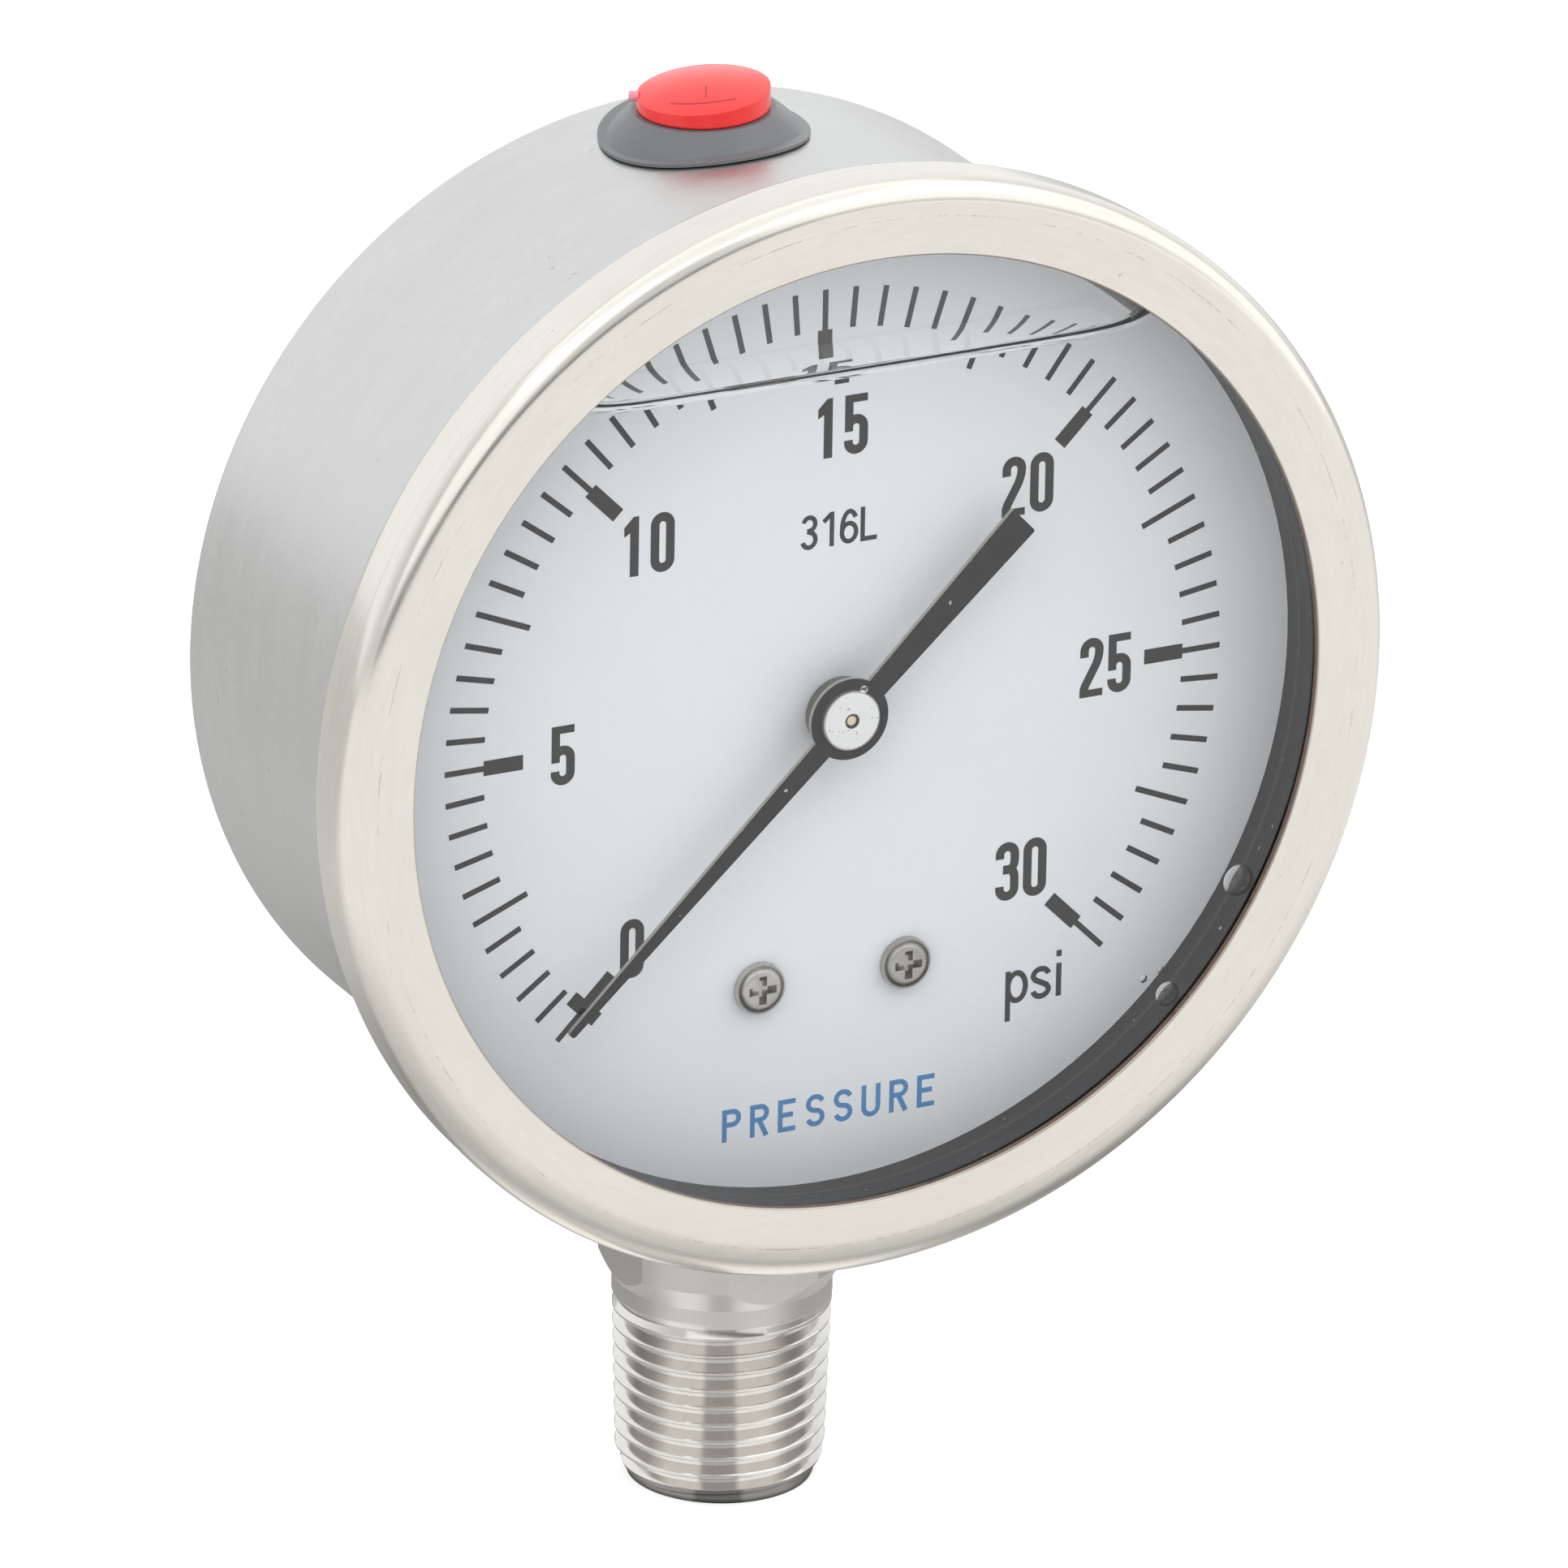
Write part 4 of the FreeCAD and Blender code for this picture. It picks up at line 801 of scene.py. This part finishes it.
LEVEL = DIAL_Z + 34.05 * MM
CAPILLARY_LENGTH = 2.26 * MM
GLASS_SLOPE = math.radians(64)
DIAL_SLOPE = math.radians(40)
SEAL_SLOPE = math.radians(55)
LIQUID_RADIUS = 48.2 * MM
LIQUID_BACK_Y = (dial_low.y + dial_high.y) / 2
SURFACE_STEPS = 12
SIDE_REACH = 9 * MM
STEP_SHRINK = 0.93
GLASS_CHAMFER = 0.3 * MM
UPPER_STEPS = 48
LOWER_STEPS = 96
WELL_BELOW_Z = DIAL_Z - 10 * MM
CLEAR_INDEX = 1.48


def climb_at_wall(slope):
    """How high the liquid climbs a wall that it meets at this slope."""
    return CAPILLARY_LENGTH * math.sqrt(2 * (1 - math.cos(slope)))


def climb_distance(height, slope):
    """How far from the wall the climbing liquid has fallen to a height above its level."""

    def reach(rise):
        share = rise / CAPILLARY_LENGTH
        return math.acosh(2 / share) - math.sqrt(4 - share**2)

    return CAPILLARY_LENGTH * (reach(height) - reach(climb_at_wall(slope)))


def climb(distance, slope):
    """The liquid's height above its level at a distance from a wall, as capillarity shapes it."""
    low, high = 1e-9, climb_at_wall(slope)
    for _ in range(40):
        middle = (low + high) / 2
        if climb_distance(middle, slope) > max(distance, 0.0):
            low = middle
        else:
            high = middle
    return high


def wall_distances(slope, reach):
    """Distances from a wall at which the surface is sampled: close where it is steep."""
    steps = []
    height = climb_at_wall(slope)
    while climb_distance(height, slope) < reach:
        steps.append(climb_distance(height, slope))
        height *= STEP_SHRINK
    return steps


def surface_line(y):
    """Points across the liquid's surface at one depth, from the left wall to the right one."""
    front = climb(y - GLASS_BACK_Y, GLASS_SLOPE)
    behind = climb(DIAL_FACE_Y - y, DIAL_SLOPE)
    middle_z = LEVEL + front + behind
    wall = math.sqrt(LIQUID_RADIUS**2 - (middle_z + climb(0.0, SEAL_SLOPE) - DIAL_Z) ** 2)
    near = wall_distances(SEAL_SLOPE, SIDE_REACH)
    inner = wall - near[-1]
    across = [-wall + distance for distance in near]
    across += [inner * (2 * step / SURFACE_STEPS - 1) for step in range(1, SURFACE_STEPS)]
    across += [wall - distance for distance in reversed(near)]
    return [Vector((x, y, middle_z + climb(wall - abs(x), SEAL_SLOPE))) for x in across]


def lower_arc(line, y):
    """Points round the wall below the surface, from its right end to its left one."""
    end = math.atan2(line[-1].z - DIAL_Z, line[-1].x)
    turns = spaced(end, -math.pi - end, LOWER_STEPS)[1:]
    return [on_circle(LIQUID_RADIUS, turn, y) for turn in turns]


def wet_the_back(piece):
    """Gives a piece's second material to what lies in the glass's back plane under the liquid."""
    for face in piece.data.polygons:
        places = [piece.data.vertices[index].co for index in face.vertices]
        on_back = all(abs(place.y - GLASS_BACK_Y) < SAME_PLACE for place in places)
        if on_back and min(place.z for place in places) < WELL_BELOW_Z:
            face.material_index = 1


def fill_liquid(clear, wetted):
    """The liquid's body, from the window to the dial, up to its curved surface."""
    middle = (DIAL_FACE_Y - GLASS_BACK_Y) / 2
    depths = [GLASS_BACK_Y + distance for distance in wall_distances(GLASS_SLOPE, middle)]
    depths += [DIAL_FACE_Y - distance for distance in reversed(wall_distances(DIAL_SLOPE, middle))]
    depths.append(LIQUID_BACK_Y)
    rings = []
    for y in depths:
        line = surface_line(y)
        rings.append(line + lower_arc(line, y))
    piece = new_piece("fill_liquid", *lofted(rings), [clear, wetted], "case", "window", 35)
    wet_the_back(piece)


def window_pane(glass, wetted):
    """The window disc. Its back is split along the liquid's edge, above which glass meets air."""
    line = surface_line(GLASS_BACK_Y)
    back_r = GLASS_RADIUS - GLASS_CHAMFER
    end = math.asin((line[0].z - DIAL_Z) / back_r)
    turns = spaced(end, math.pi - end, UPPER_STEPS)
    turns += spaced(math.pi - end, 2 * math.pi + end, LOWER_STEPS)
    edges = [
        (back_r, GLASS_BACK_Y),
        (GLASS_RADIUS, GLASS_BACK_Y - GLASS_CHAMFER),
        (GLASS_RADIUS, GLASS_FRONT_Y + GLASS_CHAMFER),
        (back_r, GLASS_FRONT_Y),
    ]
    rings = [[on_circle(radius, turn, y) for turn in turns] for radius, y in edges]
    vertices, faces = lofted(rings)
    faces.pop(-2)
    chord = list(range(len(vertices), len(vertices) + len(line)))
    faces.append(list(range(UPPER_STEPS + 1)) + chord)
    faces.append(list(range(UPPER_STEPS, len(turns))) + [0] + chord[::-1])
    vertices += line
    pane = new_piece("window_pane", vertices, faces, [glass, wetted], "case", "window", 20)
    wet_the_back(pane)
    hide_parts("window_glass")


FILM_STEPS = 40
FILM_ARC_STEPS = 10
FILM_END = math.radians(76)
FILM_THICK = 2.1 * MM
FILM_THIN = 0.25 * MM
FILM_CORNER_R = 47.97 * MM
FILM_FRONT_Y = GLASS_BACK_Y + 0.01 * MM


def corner_film(clear):
    """Liquid drawn up the corner between the window and the seal, on the right of the surface."""
    line = surface_line(GLASS_BACK_Y)
    start = math.asin((line[-1].z - DIAL_Z) / LIQUID_RADIUS)
    rings = []
    for step in range(FILM_STEPS + 1):
        share = step / FILM_STEPS
        size = FILM_THIN + (FILM_THICK - FILM_THIN) * (1 - share) ** 1.5
        section = [(FILM_CORNER_R, FILM_FRONT_Y)]
        for part in range(FILM_ARC_STEPS + 1):
            bend = math.pi / 2 * part / FILM_ARC_STEPS
            radius = FILM_CORNER_R - size * (1 - math.sin(bend))
            section.append((radius, FILM_FRONT_Y + size * (1 - math.cos(bend))))
        turn = start + (FILM_END - start) * share
        rings.append([on_circle(radius, turn, y) for radius, y in section])
    new_piece("corner_film", *lofted(rings), [clear], "case", "window", 40)


# Bubbles caught in the liquid behind the window, as (x, z, radius) in mm from the dial's centre

BUBBLES = {
    "bubble_side": (40.6, -22.2, 1.6),
    "bubble_low": (33.2, -32.6, 1.25),
    "bubble_small_1": (30.5, -30.5, 0.42),
    "bubble_small_2": (32.3, -29.9, 0.36),
    "bubble_hub": (0.1, 3.9, 0.42),
}
BUBBLE_FLATNESS = 0.35
BUBBLE_GAP = 0.03 * MM


def bubbles(air):
    """The bubbles, flattened against the window."""
    for name, (x, z, radius) in BUBBLES.items():
        mesh = bpy.data.meshes.new(name)
        work = bmesh.new()
        bmesh.ops.create_uvsphere(work, u_segments=32, v_segments=18, radius=radius * MM)
        depth = BUBBLE_FLATNESS * radius * MM
        centre = Vector((x * MM, GLASS_BACK_Y + depth + BUBBLE_GAP, DIAL_Z + z * MM))
        for vertex in work.verts:
            vertex.co = centre + Vector((vertex.co.x, BUBBLE_FLATNESS * vertex.co.y, vertex.co.z))
        work.to_mesh(mesh)
        work.free()
        mesh.materials.append(air)
        mesh.shade_smooth()
        piece = linked(name, mesh)
        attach(piece, "case")


# Moulding marks of the vent plug, in mm. Its own axes are turned a little from the dial's.

MARK_TURN = math.radians(-27)
MARK_ACROSS = Vector((math.cos(MARK_TURN), math.sin(MARK_TURN)))
MARK_AHEAD = Vector((math.sin(MARK_TURN), -math.cos(MARK_TURN)))
MARK_HALF_WIDTH = 0.2
MARK_HALF_HEIGHT = 0.04
ARC_STEPS = 6
ARC_AHEAD = 4.4
ARC_FALL = 0.7
LINE_ACROSS = 0.26
LINE_AHEAD = (1.3, 2.1, 2.9, 3.6)
PLUG_MIDDLE = (plug_low + plug_high) / 2


def on_plug(x, y):
    """The point of the plug's dome above a place, given in mm."""
    start = Vector((x * MM, y * MM, plug_high.z + 5 * MM))
    return nodes["vent_plug"].ray_cast(start, Vector((0, 0, -1)))[1]


def plug_marks(plastic):
    """A faint raised arc and a short line on the plug's dome, off its centre."""
    centre = PLUG_MIDDLE.xy / MM
    arc = []
    for step in range(-ARC_STEPS, ARC_STEPS + 1):
        ahead = ARC_AHEAD - ARC_FALL * (step / ARC_STEPS) ** 2
        arc.append(centre + MARK_ACROSS * step / 2 + MARK_AHEAD * ahead)
    line = [centre + MARK_ACROSS * LINE_ACROSS + MARK_AHEAD * reach for reach in LINE_AHEAD]
    lift = Vector((0, 0, MARK_HALF_HEIGHT * MM))
    for name, path in (("plug_mark_arc", arc), ("plug_mark_line", line)):
        rings = []
        for index, (x, y) in enumerate(path):
            along = path[min(len(path) - 1, index + 1)] - path[max(0, index - 1)]
            along.normalize()
            side = Vector((-along.y, along.x, 0)) * MARK_HALF_WIDTH * MM
            place = on_plug(x, y)
            rings.append([place - lift - side, place + lift, place - lift + side])
        new_piece(name, *lofted(rings), [plastic], "vent_plug", "red_plastic", 60)


# The stub's sections, as (distance out, half width, half height) in mm
NUB_SECTIONS = [
    (0.0, 0.8, 0.6),
    (0.4, 0.6, 0.5),
    (0.7, 0.5, 0.5),
    (0.88, 0.42, 0.42),
    (0.95, 0.22, 0.2),
]
NUB_STEPS = 14
NUB_DROP = 1.75 * MM
NUB_INSET = 0.25 * MM
NUB_RAGGED = 0.08


def plug_nub(plastic):
    """The stub left where the plug was broken off its moulding runner."""
    out = -MARK_ACROSS.to_3d()
    aside = Vector((-out.y, out.x, 0))
    start = PLUG_MIDDLE + out * ((plug_high.x - plug_low.x) / 2 - NUB_INSET)
    start.z = plug_high.z - NUB_DROP
    rings = []
    for reach, wide, high in NUB_SECTIONS:
        ring = []
        for turn in spaced(0, 2 * math.pi, NUB_STEPS):
            ragged = 1 + NUB_RAGGED * math.sin(3 * turn + 4 * reach)
            offset = out * reach - aside * wide * ragged * math.cos(turn)
            offset.z = high * ragged * math.sin(turn)
            ring.append(start + offset * MM)
        rings.append(ring)
    new_piece("plug_nub", *lofted(rings), [plastic], "vent_plug", "red_plastic", 50)


# The stem with its helical pipe thread

STEM_STEPS = 144
THREAD_PITCH = 1.8143 * MM
THREAD_TAPER = 1 / 32
THREAD_TOP_Z = 18.0 * MM
THREAD_TOP_R = 10.62 * MM
THREAD_DEPTH = 1.05 * MM
THREAD_LAND = 0.3 * MM
CREST_EDGE = 0.05 * MM
RUN_OUT_START_Z = 17.2 * MM
CREST_Z = 1.486 * MM
END_R = 9.0 * MM
END_SLOPE = 0.46
NECK_FOOT_Z = 18.9 * MM
NECK_Z = 19.5 * MM
NECK_MARGIN = 0.1 * MM
NECK_R = 10.67 * MM
CORE_R = 8.95 * MM
SLEEVE_R = 8.85 * MM


def thread_radius(z, sink):
    """The stem's radius at a height: sink is 0 on a crest of the thread and 1 in a root."""
    if z == 0.0:
        return END_R
    if z > NECK_FOOT_Z:
        return NECK_R
    taper_r = THREAD_TOP_R - (THREAD_TOP_Z - z) * THREAD_TAPER
    left = min(1.0, (NECK_FOOT_Z - z) / (NECK_FOOT_Z - RUN_OUT_START_Z))
    return min(taper_r - THREAD_DEPTH * sink * left, END_R + END_SLOPE * z)


def thread_rows():
    """The thread's profile up the stem, as (height, sink), and how many rows make one turn."""
    half_pitch = THREAD_PITCH / 2
    half_land = THREAD_LAND / 2
    edge_sink = CREST_EDGE / (half_pitch - 2 * half_land)
    upper = [
        (half_land - CREST_EDGE, 0.0),
        (half_land + CREST_EDGE, edge_sink),
        (half_pitch - half_land, 1.0),
    ]
    profile = [(-offset, sink) for offset, sink in reversed(upper)] + upper
    turns = range(-2, math.ceil(NECK_Z / THREAD_PITCH) + 2)
    rows = [(turn * THREAD_PITCH + offset, sink) for turn in turns for offset, sink in profile]
    return rows, len(profile)


def add_sleeve(work):
    """Adds a closed sleeve with a right-hand thread on its outside."""
    rows, wrap = thread_rows()
    top = len(rows) - 1 - wrap
    outer = []
    inner = []
    for step in range(STEM_STEPS):
        share = step / STEM_STEPS
        angle = 2 * math.pi * share + CAMERA_AZIMUTH + math.pi / 2
        across, along = math.cos(angle), math.sin(angle)
        column = []
        for height, sink in rows:
            z = CREST_Z + height + THREAD_PITCH * (share - 0.5)
            z = min(max(z, 0.0), NECK_Z)
            radius = thread_radius(z, sink)
            column.append(work.verts.new((radius * across, radius * along, z)))
        outer.append(column)
        pair = [(SLEEVE_R * across, SLEEVE_R * along, z) for z in (0.0, NECK_Z)]
        inner.append([work.verts.new(place) for place in pair])
    faces = []
    for step in range(STEM_STEPS):
        after = (step + 1) % STEM_STEPS
        here, there = outer[step], outer[after][0 if after else wrap:]
        near, far = inner[step], inner[after]
        for row in range(top):
            faces.append(work.faces.new((here[row], there[row], there[row + 1], here[row + 1])))
        faces.append(work.faces.new((near[1], far[1], far[0], near[0])))
        faces.append(work.faces.new((near[0], far[0], there[0], here[0])))
        faces.append(work.faces.new((near[1], here[top], there[top], far[1])))
    sleeve = list({vertex for face in faces for vertex in face.verts})
    bmesh.ops.remove_doubles(work, verts=sleeve, dist=SAME_PLACE)


def threaded_socket(steel):
    """The CAD stem with its rings turned down, under a sleeve that carries a right-hand thread."""
    mesh = coat(nodes["socket"].data.copy(), steel)
    mesh.name = "threaded_socket"
    for vertex in mesh.vertices:
        radius = math.hypot(vertex.co.x, vertex.co.y)
        if vertex.co.z < NECK_Z - NECK_MARGIN and radius > CORE_R:
            vertex.co.xy *= CORE_R / radius
    work = bmesh.new()
    work.from_mesh(mesh)
    add_sleeve(work)
    loose = [vertex for vertex in work.verts if not vertex.link_faces]
    bmesh.ops.delete(work, geom=loose, context="VERTS")
    work.to_mesh(mesh)
    work.free()
    piece = linked("threaded_socket", mesh)
    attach(piece, "case")
    smooth_below(piece, 12)
    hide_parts("socket")


# The pressure tube, copied in place of its CAD node


def bending_tube(metal):
    """The pressure tube, copied in its finish in place of the CAD node, with its placing baked in.
    """
    mesh = coat(nodes["pressure_tube"].data.copy(), metal)
    mesh.name = "bending_tube"
    piece = linked("bending_tube", mesh)
    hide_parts("pressure_tube")
    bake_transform(piece)


# Floor and light. A range is (from, to, value at from, value at to) of a measure.

FLOOR_HALF = 4.0
FLOOR_GLOW = 0.42
# Ranges over the distance from the stem, in metres
NEAR_STEM = (35 * MM, 62 * MM, 0.52, 0.0)
FAR_FROM_STEM = (75 * MM, 170 * MM, 0.58, 1.02)
UNDER_STEM = (10.5 * MM, 12.5 * MM, 0.35, 1.0)
SLOT_REACH = (30 * MM, 55 * MM, 1.0, 0.0)
FLANK_REACH = (55 * MM, 110 * MM, 1.0, 0.0)
# Ranges over the direction from the stem: how far aside of the camera's azimuth, or towards it
SLOT_ASIDE = (0.24, 0.31, 0.5, 0.0)
SLOT_TOWARDS = (0.0, 0.1, 0.0, 1.0)
FLANK_ASIDE = (0.78, 0.97, 0.0, 0.5)
FLANK_BEHIND = (-0.4, -0.1, 0.45, 0.0)
# The range over the depth behind the stem, in metres
BEHIND_CASE = (0.0, 150 * MM, 1.0, 0.66)


def mirrored_floor(recipe):
    """Painted shade on the floor as bright metals see it: darker round the stem and behind the
    case, and darker still in a painted shadow, a slot in front of the stem, and on its flanks."""
    across, along, radius = recipe.polar("Z", 0.0)[:3]
    turn_sin, turn_cos = math.sin(CAMERA_AZIMUTH), math.cos(CAMERA_AZIMUTH)
    aside = recipe.math("MULTIPLY_ADD", across, turn_cos, recipe.product(along, turn_sin))
    aside = recipe.math("ABSOLUTE", aside)
    towards = recipe.math("MULTIPLY_ADD", across, turn_sin, recipe.product(along, -turn_cos))
    near, far = recipe.remap(radius, *NEAR_STEM), recipe.remap(radius, *FAR_FROM_STEM)
    behind = recipe.remap(recipe.product(along, radius), *BEHIND_CASE)
    slot = recipe.product(recipe.remap(aside, *SLOT_ASIDE), recipe.remap(towards, *SLOT_TOWARDS))
    slot = recipe.product(slot, recipe.remap(radius, *SLOT_REACH))
    sides = recipe.remap(aside, *FLANK_ASIDE)
    flanks = recipe.math("MAXIMUM", sides, recipe.remap(towards, *FLANK_BEHIND))
    flanks = recipe.product(flanks, recipe.remap(radius, *FLANK_REACH))
    strength = recipe.product(recipe.math("ADD", near, far), behind)
    strength = recipe.product(strength, recipe.remap(radius, *UNDER_STEM))
    # Painted shadow: the slot and the flanks dim the floor's glow.
    painted_shade = recipe.math("ADD", slot, flanks)
    return recipe.product(strength, recipe.math("SUBTRACT", 1.0, painted_shade))


def make_floor():
    """A pale floor under the stem. It is white to look at, and to metals it shows painted shade in
    places.
    """
    z = cad_box[0].z
    half = FLOOR_HALF
    corners = [(-half, -half, z), (half, -half, z), (half, half, z), (-half, half, z)]
    mesh = bpy.data.meshes.new("floor")
    mesh.from_pydata(corners, [], [(0, 1, 2, 3)])
    recipe = Recipe("floor_white", (0.93, 0.93, 0.93), roughness=0.9)
    recipe.feed({"Emission Color": (1, 1, 1, 1), "Emission Strength": FLOOR_GLOW})
    glow = recipe.add("Emission", {"Strength": mirrored_floor(recipe)})
    paths = recipe.add("LightPath")
    mix = {0: paths.outputs["Is Camera Ray"], 1: glow.outputs[0], 2: recipe.shader.outputs[0]}
    recipe.set(recipe.output, {"Surface": recipe.add("MixShader", mix).outputs[0]})
    mesh.materials.append(recipe.material)
    floor = linked("floor", mesh)


ROOM_COLOUR = (0.97, 0.985, 1.0, 1)
# Ranges over the direction's depth and height
ROOM_DEPTH = (-0.1, 0.6, 0.78, 1.12)
ROOM_FRONT = (-0.75, -0.45, 1.0, 0.0)
ROOM_LOW = (0.10, 0.24, 1.0, 0.0)
ROOM_SHADE = (0.0, 1.0, 1.0, 0.28)
# Lamps, as azimuth and elevation in degrees, distance, width, height and watts
LAMPS = {
    "lamp_top": (10, 75, 1.3, 2.2, 1.8, 5.5),
    "lamp_left": (-40, 35, 1.5, 1.4, 1.4, 2.8),
    "lamp_right": (55, 25, 1.5, 2.2, 2.2, 8.5),
}


def make_room():
    """A soft studio that is brighter behind the gauge and dim low down in front of it."""
    world = bpy.data.worlds.new("studio")
    bpy.context.scene.world = world
    world.use_nodes = True
    graph = Graph(world.node_tree)
    place = graph.add("TexCoord").outputs["Generated"]
    split = graph.add("SeparateXYZ", {"Vector": place})
    depth, rise = split.outputs["Y"], split.outputs["Z"]
    low_in_front = graph.product(graph.remap(depth, *ROOM_FRONT), graph.remap(rise, *ROOM_LOW))
    shade = graph.remap(low_in_front, *ROOM_SHADE)
    strength = graph.product(graph.remap(depth, *ROOM_DEPTH), shade)
    background = graph.tree.nodes["Background"]
    graph.set(background, {"Color": ROOM_COLOUR, "Strength": strength})


def make_lamps():
    """Three soft lamps that face the dial's centre."""
    for name, (azimuth, elevation, distance, width, height, watts) in LAMPS.items():
        back = direction(math.radians(azimuth), math.radians(elevation))
        data = bpy.data.lights.new(name, "AREA")
        data.shape = "RECTANGLE"
        data.size, data.size_y = width, height
        data.energy = watts
        lamp = linked(name, data)
        lamp.location = Vector((0, 0, DIAL_Z)) + back * distance
        lamp.rotation_mode = "QUATERNION"
        lamp.rotation_quaternion = (-back).to_track_quat("-Z", "Y")


# The gauge. Metals are (colour, roughness).

METALS = {
    "movement_brass": ((0.78, 0.58, 0.28), 0.3),
    "movement_steel": ((0.56, 0.56, 0.56), 0.3),
    "screw_steel": ((0.55, 0.53, 0.50), 0.3),
    "tube_steel": ((0.62, 0.60, 0.56), 0.34),
    # Painted shade: the pointer hub's barrel is near-black steel, darkened for the shade under the
    # blade.
    "barrel_steel_painted_shade": ((0.15, 0.145, 0.125), 0.2),
    "arbor_brass": ((0.82, 0.72, 0.52), 0.28),
}
# Others are (colour, roughness, grain in cycles per metre, its depth in metres, colour spread).
OTHERS = {
    "dial_print": ((0.038, 0.038, 0.036), 0.6, 1500.0, 1e-6, 0.06),
    "plug_mark": ((0.48, 0.008, 0.010), 0.35, 700.0, 2e-6, 0.03),
    "plug_stub": ((0.92, 0.34, 0.38), 0.25, 900.0, 8e-6, 0.2),
    "red_plastic": ((0.93, 0.032, 0.032), 0.16, 700.0, 2e-6, 0.03),
    "blue_print": ((0.07, 0.24, 0.52), 0.55, 3000.0, 3e-6, 0.12),
    "grey_rubber": ((0.165, 0.17, 0.178), 0.3, 1500.0, 3e-6, 0.06),
    "dial_white": ((0.80, 0.825, 0.85), 0.62, 1200.0, 3e-6, 0.015),
}
# The CAD nodes that wear them
DRESSED = {
    "movement_brass": "movement_back_plate movement_front_plate plate_pillars dial_posts "
    "sector_gear sector_bushings pinion_bushings link_bar hairspring_collet hairspring_stud",
    "movement_steel": "sector_arbor tip_link_pin sector_link_pin hairspring plate_screws "
    "holder_screws",
    "screw_steel": "dial_screws",
    "tube_steel": "pressure_tube tube_end_piece",
    "barrel_steel_painted_shade": "pointer_hub",
    "arbor_brass": "pinion_arbor",
    "red_plastic": "vent_plug",
    "grey_rubber": "fill_grommet",
    "dial_white": "dial_plate",
}
# Painted glow: the red plastic gives off a faint red light of its own, though it is no lamp.
PAINTED_GLOWS = {"red_plastic": {"Emission Color": (1.0, 0.03, 0.02, 1), "Emission Strength": 0.07}}

make_camera()

finish = {name: plain_metal(name, *look) for name, look in METALS.items()}
for name, look in OTHERS.items():
    finish[name] = dull_surface(name, *look, **PAINTED_GLOWS.get(name, {})).material
steel = machined_steel()

dress(case_steel(), "case_shell")
dress(steel, "socket", "restrictor_screw")
dress(black_rubber(), "window_gasket")
dress(pointer_paint(), "pointer_blade")
dress(pitted_cap(), "pointer_cap")
for name, parts in DRESSED.items():
    dress(finish[name], *parts.split())

turned_bezel(bezel_steel())
for draw in (dial_scale, dial_numerals, steel_grade, unit_letters):
    draw(finish["dial_print"])
plain_word(finish["blue_print"])

wet = wetted_face()
liquid = optical("fill_liquid", CLEAR_INDEX)
fill_liquid(liquid, wet)
corner_film(liquid)
window_pane(optical("window", CLEAR_INDEX), wet)
bubbles(optical("air", 1 / CLEAR_INDEX))

threaded_socket(steel)
bending_tube(finish["tube_steel"])
plug_marks(finish["plug_mark"])
plug_nub(finish["plug_stub"])

make_floor()
make_room()
make_lamps()
bpy.context.scene.view_settings.view_transform = "Standard"
